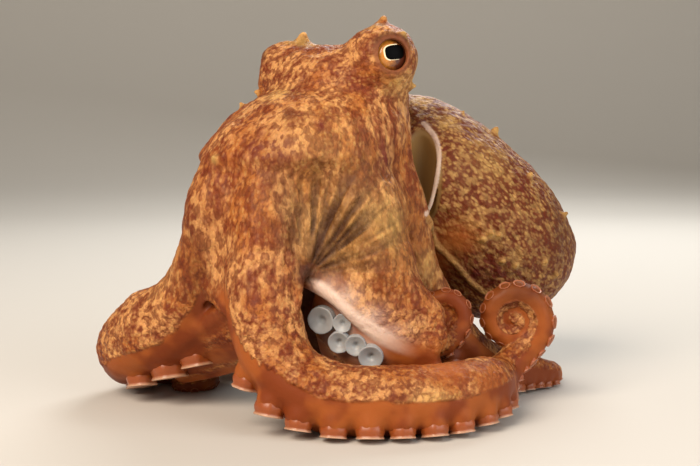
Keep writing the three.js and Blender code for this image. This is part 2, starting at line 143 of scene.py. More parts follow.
# Down each arm: x, y, z, radius. Then the coil at its end: its middle, how far out it starts and
# ends, its turns, and the angle and the way in which it sets out.
FLAT_COIL = {"to": 2.8, "turns": 1.05, "flat": True}
ARMS = {
    "R1": {
        "path": [
            (-33, -13, 92, 10), (-43, -17, 74, 12.5), (-47, -15, 56, 12.5), (-52, -10, 42, 13.5),
            (-60, -4, 31, 15.5), (-70, 3, 25, 16.5), (-79, 11, 18.5, 14.5), (-81, 22, 11, 10),
            (-75, 31, 7, 7), (-65, 34, 4.6, 4.6),
        ],
        "coil": FLAT_COIL | {"middle": (-61, 25.5, 0), "from": 8.6, "start": 100, "sense": -1},
    },
    "L1": {
        "path": [
            (-20, -20, 92, 10), (-26, -27, 74, 12), (-29, -32, 54, 12), (-28, -37, 35, 12.4),
            (-21, -42.5, 19, 12.2), (-6, -47, 11.8, 12), (13, -48.5, 11.2, 11.6), (32, -42, 11.2, 11.4),
            (45, -29, 12, 10.2), (50.5, -14, 11.4, 7.6), (55, -3, 13, 5.8),
        ],
        "coil": {
            "middle": (58.5, 1, 30.5), "from": 11.8, "to": 1.8, "turns": 1.9, "start": -100, "sense": 1,
            "flat": False,
        },
    },
    "L2": {
        "path": [
            (-5, -17, 92, 10), (3, -23, 74, 13), (8, -26, 56, 13.5), (13, -26.5, 42, 12.5),
            (21, -24, 31, 10.2), (28, -19, 25.5, 6.8), (34, -15.5, 26, 4.4),
        ],
        "coil": {
            "middle": (32, -14, 34.5), "from": 7.4, "to": 1.8, "turns": 1.3, "start": -60, "sense": 1,
            "flat": False,
        },
    },
    "L3": {
        "path": [
            (6, -5, 92, 9), (16, -4, 74, 11), (18, -2, 55, 12), (25, 2, 37, 11.8),
            (38, 8, 20, 10.6), (54, 16, 9, 8.8), (68, 24, 6.6, 6.4), (77, 32, 4.4, 4.6),
        ],
        "coil": FLAT_COIL | {"middle": (70, 38, 0), "from": 9, "start": -20, "sense": 1},
    },
    "L4": {
        "path": [
            (5, 8, 92, 8), (11, 15, 74, 10), (13, 21, 55, 11.5), (19, 30, 37, 11.5),
            (30, 40, 19, 10.4), (45, 48, 9, 8.6), (60, 55, 6, 6), (72, 62, 4.4, 4.4),
        ],
        "coil": FLAT_COIL | {"middle": (66, 69, 0), "from": 8.6, "start": -30, "sense": 1},
    },
    "R4": {
        "path": [
            (-6, 19, 90, 8), (-6, 27, 74, 10.5), (-5, 34, 55, 11.5), (-3, 44, 37, 11.5),
            (2, 57, 19, 10.4), (11, 70, 9, 8.6), (24, 82, 6, 6), (37, 89, 4.4, 4.4),
        ],
        "coil": FLAT_COIL | {"middle": (40, 80, 0), "from": 8.6, "start": 100, "sense": -1},
    },
    "R3": {
        "path": [
            (-20, 20, 90, 8.5), (-29, 28, 74, 11), (-33, 34, 55, 12), (-38, 45, 37, 11.6),
            (-42, 59, 19, 10.4), (-38, 74, 9, 8.6), (-27, 85, 6, 6), (-13, 89, 4.4, 4.4),
        ],
        "coil": FLAT_COIL | {"middle": (-11, 80, 0), "from": 8.6, "start": 95, "sense": -1},
    },
    "R2": {
        "path": [
            (-33, 6, 92, 9), (-44, 11, 74, 11.5), (-48.5, 17, 55, 12), (-53, 29, 37, 11.5),
            (-60, 43, 20, 11), (-70, 54, 9.4, 9), (-81, 63, 6.4, 6.4), (-85, 74, 4.6, 4.6),
        ],
        "coil": FLAT_COIL | {"middle": (-76, 77, 0), "from": 8.8, "start": 190, "sense": -1},
    },
}
ARM_ORDER = ("R1", "L1", "L2", "L3", "L4", "R4", "R3", "R2")
# Where an arm turns its suckered side, by share of its length. The others turn it inward and down.
ORAL_SIDES = {
    "L1": [
        (0, (0.3, 0.9, -0.3)), (0.14, (-0.3, 0.9, -0.2)), (0.2, (-0.85, 0.5, -0.3)),
        (0.25, (-0.75, 0.1, -0.65)), (0.3, (-0.2, -0.6, -0.77)), (0.5, (0.05, -0.62, -0.78)),
        (0.6, (0.6, -0.5, -0.6)),
    ],
    "R1": [
        (0, (0.5, 0.8, -0.3)), (0.28, (0.4, -0.1, -0.9)), (0.56, (0.1, -0.35, -0.93)),
        (0.75, (0.3, 0.2, -0.9)),
    ],
    "L2": [
        (0, (-0.5, 0.8, -0.3)), (0.3, (-0.5, 0.5, -0.7)), (0.5, (-0.5, 0.3, -0.8)),
        (0.62, (0.1, -0.2, -0.98)),
    ],
}
# The stretch of each arm that has suckers, by share of its length.
SUCKERED = {"L1": (0.27, 0.985), "R1": (0.36, 0.985), "L2": (0.66, 0.985)}
SUCKERED_ELSE = (0.36, 0.985)
TIP_RADIUS = 1.3
COIL_STATIONS = 9  # in each turn of a coil
COIL_HEART = (3.4, 2.4, 3.4)  # flesh that fills the middle of a standing coil
COIL_BARED = 0.45  # a standing coil's smooth side reaches this much further round
# How far a coil's suckers face out, and the way they lean, where it stands and where it lies flat.
COIL_FACING = {False: (0.9, (0, -0.4, 0)), True: (0.8, (0, 0, -0.6))}
COIL_REACH = 1.12  # an arm counts as coiled within this many times its coil's reach
COIL_EASED = (0.08, 0.03)  # it turns over this share of its length before there, and this after
ARM_STEP = 0.9  # between the rings of an arm
LYING = (45, 18)  # an arm starts to lie down at the first height, and lies at the second
FLOOR_BITE = 0.7  # the lowest flesh is pressed flat by this much
ORAL_FLAT = 0.85  # the suckered side lies this share of the radius from the arm's middle
ORAL_DROP = 0.5  # how far an upright arm turns its suckers down
ORAL_LYING = (0.75, 0.66)  # and a lying one: aside, down

COIL_SHARE = 0.08  # the suckers of a coil are this much larger a share of their arm
COIL_SOON = 0.05  # they grow over this share of the arm's length
SUCKER_STANDS = 0.3  # a rim stands this many sucker radii off its arm
SUCKER_NEAR = (3.2, 2.4)  # suckers turn to the floor as it comes this many arm radii near
SUCKER_SPLAY = 0.25  # how far outward those on the floor face
SUCKER_ASIDE = 0.78  # they sit this many arm radii out from the arm's middle
SUCKER_BELOW = (0.62, 0.6)  # and this many arm radii and sucker radii below it
SUCKER_LOWEST = (0.25, 0.25)  # but no nearer to the floor than this, mm and sucker radii
SUCKER_BODY = 1.1  # the flesh behind a rim: how far back, in sucker radii
SUCKER_BULGE = 1.08  # and its own radius

WEB_THICKNESS = 3
WEB_HEART = np.array([-17.0, 0, 4])  # the webs swell away from this point under the crown
WEB_RAISED = 0.55  # a web leaves its arm this share of the radius out from its middle
WEB_START = 0.06  # by share of its arm's length
WEB_FINE = 20  # corners each way across a web
# Two neighbours, how far down each the web reaches, how far its edge is drawn up, its swelling.
WEBS = [
    ("R1", "L1", 0.42, 0.3, 0.2, 4),
    ("L1", "L2", 0.28, 0.36, 0.3, 3),
    ("L2", "L3", 0.36, 0.26, 0.25, 4),
    ("L3", "L4", 0.36, 0.38, 0.25, 3.5),
    ("L4", "R4", 0.42, 0.42, 0.2, 1),
    ("R4", "R3", 0.4, 0.4, 0.25, 3.4),
    ("R3", "R2", 0.4, 0.4, 0.25, 3.3),
    ("R2", "R1", 0.37, 0.33, 0.25, 4),
]

# The flesh inside the webs under the crown, whose skin is painted dark brown as shade: x, y, z, radius.
CORE = [(-16, 1, 92, 24), (-16, 3, 72, 27), (-15, 6, 50, 28), (-14, 8, 30, 26), (-13, 9, 15, 15)]

# The web's free edge between L1 and L2 turns under. These lines lie across it, from the arms over
# the margin to the inside: x and z as for the marks below, then y and the flesh's half thickness.
FOLD_LINES = [
    [(-17, 62, -29, 3), (-6, 60, -29, 4), (6, 54, -30, 5), (18, 44, -31, 5), (30, 32, -29, 4)],
    [(-17, 51, -32, 3), (-6, 48, -32, 3.6), (4, 41, -34, 4.5), (16, 32, -34, 5), (31, 24, -31, 4)],
    [
        (-16.5, 44.5, -34, 1.8), (-8.5, 40, -36, 1.2), (1.5, 31.5, -38, 1.1), (15, 23, -37.5, 1.5),
        (30, 18.5, -34, 2),
    ],
    [
        (-11.5, 41, -28, 1.5), (-4, 34.5, -31.5, 1.5), (5, 26.5, -35.5, 1.6), (17, 19, -36, 2),
        (30, 14, -32, 3),
    ],
    [(-11, 33, -23, 3), (-4, 24, -27, 3.2), (5, 17.5, -31, 3.2), (17, 13, -32, 3.2), (30, 10.5, -31, 3.2)],
    [(-8, 20, -20, 3), (-2, 13, -23, 3), (7, 9, -27, 3), (18, 7, -28, 3), (30, 7, -28, 3)],
]
FOLD_MARGIN = 2  # which of the lines is the margin
# The suckers that show in the fold: x, z, y, radius, then the way each faces.
FOLD_SUCKERS = [
    (-9.7, 30.5, -30.5, 4.6, (-0.35, -0.9, -0.05)), (-3.6, 22.5, -33.5, 3.9, (-0.25, -0.95, -0.1)),
    (2.2, 21.3, -35.5, 3.5, (-0.15, -0.97, -0.1)), (7.6, 17.3, -36.5, 3.9, (-0.1, -0.97, -0.2)),
    (-2.4, 29.2, -33.5, 3.3, (-0.3, -0.95, 0)),
]
# The web's underside between R1 and L1, in the same way.
ARCH_LINES = [
    [(-66, 20, -10, 4), (-56, 26, -16, 4), (-46, 32, -24, 4), (-38, 38, -32, 4)],
    [(-64, 14, -2, 3), (-54, 17, -8, 3), (-45, 20, -16, 3), (-36, 22, -24, 3)],
    [(-60, 10, 8, 3), (-50, 12, 2, 3), (-42, 14, -6, 3), (-34, 15, -14, 3)],
]

# ---- camera, and marks placed as seen from it ----

CAMERA = np.array([0.0, -450, 101])
CAMERA_TILT = 5  # degrees down
LENS = 65

# A mark is placed by where its line of sight crosses the plane y = 0: x, z. Then its half
# width, half height and strength.
MARKS = {
    "maroon": [
        (-20.5, 111.4, 2.5, 3, 0.8), (-10.3, 100.1, 1.5, 2.5, 0.7), (12.8, 87.7, 4, 4, 1.0),
        (46.6, 47.6, 11, 6, 0.8), (-34, 92, 2, 2.5, 0.6), (-8, 84, 1.6, 2.4, 0.6), (24, 94, 1.6, 2.4, 0.5),
        (60, 80, 5, 4, 0.4), (-27, 90, 9, 8, 0.45), (-2, 76, 3, 5, 0.4),
    ],
    "cream": [
        (-24.8, 110.7, 6, 3, 0.9), (17, 114.5, 6, 4, 0.6), (24, 119, 3, 6, 0.5), (24.8, 108.9, 3.5, 5, 1.0),
        (28, 49.4, 4.5, 6, 0.9), (-10, 96, 14, 12, 0.3), (14, 66, 7, 8, 0.7), (50, 88, 9, 8, 0.4),
        (35, 101, 4, 3, 0.9), (31, 0.5, 7, 3.5, 0.9), (-70, 50, 8, 10, 0.3),
    ],
    "warm": [
        (38.3, 59.1, 8, 8, 1.0), (33, 52, 4, 9, 0.8), (-77, 50, 6, 6, 0.6), (51, 3, 8, 10, 0.8),
        (35, 13, 8, 6, 1.0), (24, 17, 9, 4.5, 1.0), (13, 21, 6, 3.5, 0.9),
    ],
    # Painted shade: the creases fanning up from the pinch, the mantle's shadowed lower right side, and
    # smaller hollows
    "dark": [
        (-15, 47, 5, 6, 1.0), (-11.5, 54, 5, 8, 0.9), (-5, 65, 5, 9, 0.6), (2, 77, 3.5, 8, 0.45),
        (6, 86, 3, 7, 0.4), (-55, 48, 6, 20, 0.45), (62, 42, 24, 9, 0.6), (76, 62, 10, 20, 0.4),
        (-22, 103, 3, 3, 0.4), (-8, 57, 6, 9, 0.6),
    ],
    "olive": [
        (15, 135, 9, 4, 0.7), (-17, 129, 7, 5, 0.7), (16, 117, 5, 6, 0.8), (23, 118, 4, 9, 0.5),
        (12, 62, 8, 10, 0.5),
    ],
    "pale": [
        (-2, 37.5, 5, 5, 0.8), (5.8, 31, 6, 4, 0.8), (13, 26, 7, 3, 0.5), (-8, 42, 4, 4, 0.6),
        (-4, 26, 6, 7, 0.8), (4, 20, 6, 5, 0.8),
    ],
}
PINCH = (-15.4, 46.4)  # the folds of the web run together here
PINCH_REACH = 58  # how far the folds run up from it
PINCH_LEAN = 0.55  # radians from straight up to the middle of their fan
PINCH_SPREAD = 0.85  # radians
PINCH_WAVES = 10  # folds to a radian, about
PINCH_LENGTH = 26  # a fold keeps its height for about this long
PINCH_STRENGTH = 1.35
PINCH_FULL = 6  # they have their full strength up to here
# Finer folds lie among them: how much finer, and how far from the pinch they start.
PINCH_FINER = ((2, 11), (3.5, 20))
PINCH_SOON = 1.6  # they are full this many times as far out
PINCH_HEIGHTS = (1.3, 1.2)  # of the coarse and of the finer ones
# The free edge of the mantle beside the neck, and the keel: x, z, radius.
MANTLE_EDGE = [
    (26.2, 100.4, 0.4), (30.2, 95.8, 0.45), (31.6, 90.2, 0.5), (31.2, 83.8, 0.5), (29.2, 73.5, 0.5),
    (27, 68.5, 0.4),
]
KEEL = [
    (28.2, 66.6, 1.1), (29.7, 59.5, 1.1), (31.8, 56.6, 0.9), (37.6, 50.5, 0.8), (43.0, 44.4, 0.8),
    (49.2, 39.7, 0.6),
]
EDGE_RINGS = 30
PAPILLA_TAPER = 0.45  # the tip's radius as a share of the root's
PAPILLA_LIFT = 0.5  # how far they lean upwards
PAPILLA_SUNK = 0.5
PAPILLA_PALE = 1.2  # the middle of their pale tips, out from the skin
# Tall papillae: x, z, root radius, height.
PAPILLAE = [
    (51, 97, 1.7, 2.2), (47.5, 59.5, 1.5, 1.4), (50.2, 61.5, 1.5, 1.5), (53, 60.6, 1.3, 1.2),
    (54.4, 51.6, 1.4, 0.9), (59.1, 50.1, 1.4, 0.9), (69.8, 51.2, 1.5, 1.1), (73.5, 46.5, 1.5, 1.1),
    (76, 67.7, 1.6, 1.8), (-32, 111, 1.4, 1.4), (-38, 106.5, 1.6, 1.3), (22, 113.8, 1.6, 0.7),
    (18.5, 131.5, 1.6, 0.8), (64, 82, 1.5, 1.1), (-48, 88, 1.3, 0.9), (40, 104, 1.4, 1),
]

# ---- the field ----

GRID_LOW = np.array([-105.0, -78, -5])
GRID_HIGH = np.array([108.0, 112, 148])
BAND = 8.0  # the field is known this far from a surface
FAR = 300  # the whole animal lies between this far from the camera and twice as far
FAIRED = 2  # times that the flesh is evened out
ARM_ROOTED = (42, 80)  # arms join the flesh above more softly between these heights
# How softly each form joins the flesh before it, or how softly its hollow is cut, mm.
FILLETS = {
    "crown": 1, "core": 6, "web": 4, "arm": 0.8, "arm_root": 7.8, "sucker": 2, "heart": 1, "sheet": 2,
    "head": 8, "brow": 6, "mantle": 4, "funnel": 2, "bore": 1, "slit": 1.5, "edge": 1.2, "eye": 5,
    "lid": 0.9, "opening": 0.8, "ball": 0.2, "horn": 2.5, "papilla": 1.5,
}


def linear(hex_colour):
    """A linear colour with alpha from an sRGB hex value."""
    channels = [int(hex_colour[i : i + 2], 16) / 255 for i in (0, 2, 4)]
    return tuple(c / 12.92 if c <= 0.04045 else ((c + 0.055) / 1.055) ** 2.4 for c in channels) + (1.0,)


def colour_property(name, description, hex_colour):
    """A colour that a user can change."""
    return bpy.props.FloatVectorProperty(
        name=name, description=description, subtype="COLOR", size=4, min=0, max=1, default=linear(hex_colour)
    )


class OctopusSkin(bpy.types.PropertyGroup):
    """Fineness, relief and colours of the skin."""

    step: bpy.props.FloatProperty(
        name="Step", description="Distance between the corners of the skin's mesh, mm", default=0.5,
        min=0.4, max=2,
    )
    granule: bpy.props.FloatProperty(
        name="Granule", description="Height of the skin's granules, mm", default=0.36, min=0, max=1
    )
    fold: bpy.props.FloatProperty(
        name="Fold", description="Depth of the folds drawn in at the pinch, mm", default=0.7, min=0, max=2
    )
    tan: colour_property("Tan", "The skin's ground colour", "A8642C")
    apricot: colour_property("Apricot", "Pale patches of the ground", "D0955A")
    rust: colour_property("Rust", "The net between the granules", "6E270A")
    brown: colour_property("Brown", "The shaded parts of the mantle and webs", "4A2009")
    cream: colour_property("Cream", "Flecks and the tips of papillae", "D2A660")
    maroon: colour_property("Maroon", "Dark red spots", "641C14")
    olive: colour_property("Olive", "The brows and the pale ridges near the pinch", "A68748")
    # Painted shade: the troughs of the fine folds at the pinch, and the pinch itself
    streak: colour_property("Streak", "The fine folds at the pinch", "38200F")
    # The smooth side's orange, partly darkened as painted shade
    flesh: colour_property("Flesh", "The smooth side of the arms and webs", "78340F")
    flesh_pale: colour_property("Pale flesh", "Patches of the smooth side", "A45822")
    lining: colour_property("Lining", "Inside the mantle's opening", "8C6A3E")
    rim: colour_property("Rim", "The thin free edges of mantle and web", "DABFAE")
    lid: colour_property("Lid", "The folds round the eye", "7A4428")


class OctopusSuckers(bpy.types.PropertyGroup):
    """Size and colours of the suckers."""

    share: bpy.props.FloatProperty(
        name="Share", description="A sucker's radius, as a share of its arm's", default=0.38, min=0.2, max=0.6
    )
    pitch: bpy.props.FloatProperty(
        name="Pitch", description="The step along the row, in sucker radii", default=2.0, min=1.8, max=4
    )
    root: colour_property("Root", "The sucker's stalk", "92481C")
    folded: colour_property("Folded", "The shaded suckers in the web's fold", "92999C")
    cup: colour_property("Cup", "The sucker's rim and cup", "BC9478")


class OctopusEyes(bpy.types.PropertyGroup):
    """Size and colours of the eyes."""

    pupil_width: bpy.props.FloatProperty(
        name="Pupil width", description="Length of the pupil's slot", default=7.4 * MM, min=MM, unit="LENGTH"
    )
    pupil_height: bpy.props.FloatProperty(
        name="Pupil height", description="Height of the pupil's slot", default=5 * MM, min=MM, unit="LENGTH"
    )
    gold: colour_property("Gold", "The iris to the left", "C87E26")
    brown: colour_property("Brown", "The iris to the right", "4E2010")
    glint: colour_property("Glint", "The pale edge over the pupil", "F0E2C0")


class OctopusStage(bpy.types.PropertyGroup):
    """Strength of the lights and the colour of the floor."""

    key: bpy.props.FloatProperty(
        name="Key", description="Light from the front left", default=17, unit="POWER"
    )
    fill: bpy.props.FloatProperty(
        name="Fill", description="Light from the front right", default=6, unit="POWER"
    )
    rim: bpy.props.FloatProperty(name="Rim", description="Light from behind", default=8, unit="POWER")
    warmth: colour_property("Warmth", "Colour of the key light", "FFEEDC")
    paper: colour_property("Paper", "The floor", "C9C5BD")


def unit(vectors):
    """Vectors brought to length one."""
    vectors = np.asarray(vectors, float)
    return vectors / np.maximum(np.linalg.norm(vectors, axis=-1, keepdims=True), 1e-9)


def smooth_step(low, high, value):
    """0 below low, 1 above high, with a soft turn at both ends."""
    t = np.clip((value - low) / (high - low), 0, 1)
    return t * t * (3 - 2 * t)


def round_trip(count):
    """Evenly spaced angles once round."""
    return np.linspace(0, 2 * math.pi, count, endpoint=False)


# ---- curves ----

SPLINE_FINE = 30  # points worked out between two stations


def spline(stations, count, rounded=False):
    """A centripetal curve through stations (x, y, z, more), as count evenly spaced rows.

    What follows x, y, z runs straight from one station to the next unless it is rounded too.
    """
    stations = np.asarray(stations, float)
    ends = [2 * stations[0] - stations[1], 2 * stations[-1] - stations[-2]]
    padded = np.vstack([ends[0], stations, ends[1]])
    t = np.linspace(0, len(stations) - 1, SPLINE_FINE * len(stations))
    i = np.minimum(t.astype(int), len(stations) - 2)
    w = (t - i)[:, None]
    p0, p1, p2, p3 = (padded[i + k] for k in range(4))
    d0, d1, d2 = (
        np.maximum(np.linalg.norm(b[:, :3] - a[:, :3], axis=1, keepdims=True) ** 0.5, 1e-4)
        for a, b in ((p0, p1), (p1, p2), (p2, p3))
    )
    m1 = ((p1 - p0) / d0 - (p2 - p0) / (d0 + d1) + (p2 - p1) / d1) * d1
    m2 = ((p2 - p1) / d1 - (p3 - p1) / (d1 + d2) + (p3 - p2) / d2) * d1
    rows = p1 + m1 * w + (3 * (p2 - p1) - 2 * m1 - m2) * w**2 + (2 * (p1 - p2) + m1 + m2) * w**3
    if not rounded:
        rows[:, 3:] = (p1 + (p2 - p1) * w)[:, 3:]
    along = np.concatenate([[0], np.cumsum(np.linalg.norm(np.diff(rows[:, :3], axis=0), axis=1))])
    even = np.linspace(0, along[-1], count)
    return np.stack([np.interp(even, along, rows[:, c]) for c in range(rows.shape[1])], axis=1), along[-1]


def coil_stations(coil, start_radius):
    """The stations of a coil that winds inward, lying flat or standing on edge."""
    steps = math.ceil(coil["turns"] * COIL_STATIONS)
    rows = []
    for i in range(1, steps + 1):
        share = i / steps
        angle = math.radians(coil["start"] + coil["sense"] * 360 * coil["turns"] * share)
        reach = coil["from"] + (coil["to"] - coil["from"]) * share
        u = math.cos(angle) * reach
        w = math.sin(angle) * reach
        radius = start_radius + (TIP_RADIUS - start_radius) * share
        x, y, z = coil["middle"]
        place = (x + u, y + w, radius - FLOOR_BITE) if coil["flat"] else (x + u, y, z + w)
        rows.append((*place, radius))
    return rows


def arm_line(name):
    """An arm as evenly spaced points, each with its radius, direction, suckered side and share of the way.

    Also the arm's length, the share at which it coils, and how far round its coil is bared.
    """
    arm = ARMS[name]
    stations = np.array(list(arm["path"]) + coil_stations(arm["coil"], arm["path"][-1][3]), float)
    stations[:, 2] = np.maximum(stations[:, 2], stations[:, 3] - FLOOR_BITE)
    _, length = spline(stations, 2)
    rows, length = spline(stations, int(length / ARM_STEP))
    points = rows[:, :3]
    along = unit(np.gradient(points, axis=0))
    share = np.linspace(0, 1, len(points))
    inward = unit((WEB_HEART - points) * LEVEL)
    sideways = unit(np.cross(along, UP))
    sideways *= -np.sign(np.sum(sideways * inward, axis=1, keepdims=True))
    lying = smooth_step(*LYING, points[:, 2:3])
    aside, down = ORAL_LYING
    oral = unit(inward - UP * ORAL_DROP) * (1 - lying) + unit(sideways * aside - UP * down) * lying
    if name in ORAL_SIDES:
        keys, ways = zip(*ORAL_SIDES[name])
        oral = np.stack([np.interp(share, keys, way) for way in zip(*ways)], axis=1)
    coil = arm["coil"]
    outward = (points - coil["middle"]) * (LEVEL if coil["flat"] else 1)
    first = share[np.argmax(np.linalg.norm(outward, axis=1) < coil["from"] * COIL_REACH)]
    coiled = smooth_step(first - COIL_EASED[0], first + COIL_EASED[1], share)[:, None]
    out, lean = COIL_FACING[coil["flat"]]
    oral = unit(unit(oral) * (1 - coiled) + unit(unit(outward) * out + lean) * coiled)
    oral = unit(oral - along * np.sum(oral * along, axis=1, keepdims=True))
    line = {"points": points, "radius": rows[:, 3], "along": along, "oral": oral, "share": share}
    return line | {"length": length, "coiled": first, "bared": 0 if coil["flat"] else COIL_BARED}


# ---- meshes for the field ----

ARM_SIDES = 40
MANTLE_RINGS = 200
MANTLE_SIDES = 72
TUBE_RINGS = 40
TUBE_SIDES = 64


def loft(rings, close=True):
    """Corners and quads through rings of points (rings, sides, 3), closed at both ends."""
    rings = np.asarray(rings, float)
    count, sides, _ = rings.shape
    if close:
        caps = [np.repeat(rings[k].mean(0)[None], sides, 0)[None] for k in (0, -1)]
        rings = np.concatenate([caps[0], rings, caps[1]])
        count += 2
    a = np.arange(count - 1)[:, None] * sides + np.arange(sides)[None]
    b = np.arange(count - 1)[:, None] * sides + (np.arange(sides)[None] + 1) % sides
    quads = np.stack([a, b, b + sides, a + sides], axis=-1).reshape(-1, 4)
    return rings.reshape(-1, 3), quads


def tube_rings(points, radius, across, through, sides, flat=None):
    """Round rings along points. flat presses the side that through points to closer in."""
    angle = round_trip(sides)
    reach = np.ones(sides)
    if flat:
        facing = np.cos(angle)
        reach = np.where(facing > 0, np.minimum(1, flat / np.maximum(facing, 1e-3)), 1)
        reach = 0.25 * np.roll(reach, 1) + 0.5 * reach + 0.25 * np.roll(reach, -1)
    around = through[:, None] * (np.cos(angle) * reach)[None, :, None]
    around = around + across[:, None] * (np.sin(angle) * reach)[None, :, None]
    return points[:, None] + around * radius[:, None, None]


def arm_mesh(line):
    """An arm's own surface, flatter on the side of its suckers."""
    across = np.cross(line["along"], line["oral"])
    return loft(tube_rings(line["points"], line["radius"], across, line["oral"], ARM_SIDES, ORAL_FLAT))


def web_mesh(lines, row):
    """The sheet of skin between two arms, drawn up between them at its free edge."""
    first, second, reach_first, reach_second, drawn_up, swell = row
    a, b = lines[first], lines[second]
    t = np.linspace(0, 1, WEB_FINE)[None, :, None]
    arch = 4 * t * (1 - t)
    s = WEB_START + (1 - drawn_up * arch - WEB_START) * np.linspace(0, 1, WEB_FINE)[:, None, None]

    def at(line, share):
        """The places and radii at shares of an arm's length."""
        rows = np.column_stack([line["points"], line["radius"]])
        place = share * (len(rows) - 1)
        low = np.minimum(place.astype(int), len(rows) - 2)[..., 0]
        return rows[low] * (1 - place + low[..., None]) + rows[low + 1] * (place - low[..., None])

    own = at(a, s * reach_first)
    points = own[..., :3] * (1 - t) + at(b, s * reach_second)[..., :3] * t
    outward = unit(points - WEB_HEART)
    middle = points + outward * (swell * arch + own[..., 3:] * WEB_RAISED)
    half = outward * WEB_THICKNESS / 2
    return loft(np.concatenate([middle + half, (middle - half)[:, ::-1]], axis=1))


def mantle_mesh():
    """The sac behind the head. The squares of its radii run smoothly, which rounds its blind end."""
    stations = np.array(MANTLE, float)
    stations[:, 3:] **= 2
    rows, _ = spline(stations, MANTLE_RINGS, rounded=True)
    rows[:, 3:] = np.sqrt(np.maximum(rows[:, 3:], 0.01))
    along = unit(np.gradient(rows[:, :3], axis=0))
    side = unit(np.cross(along, UP))
    top = np.cross(side, along)
    angle = round_trip(MANTLE_SIDES)
    around = side[:, None] * (np.cos(angle)[None, :] * rows[:, 3:4])[..., None]
    around = around + top[:, None] * (np.sin(angle)[None, :] * rows[:, 4:5])[..., None]
    return loft(rows[:, None, :3] + around)


def tube_mesh(stations):
    """A body of level round sections: x, y, z, radius."""
    rows, _ = spline(stations, TUBE_RINGS)
    across = np.tile([1.0, 0, 0], (len(rows), 1))
    through = np.tile([0, -1.0, 0], (len(rows), 1))
    return loft(tube_rings(rows[:, :3], rows[:, 3], across, through, TUBE_SIDES))


# ---- the distance field ----

CONE_BAND = 3  # a cone's field is worked out this far from it
SHEET_FINE = 26  # points along each guiding line of a sheet
SHEET_ROWS = 5  # lines laid for each guiding line


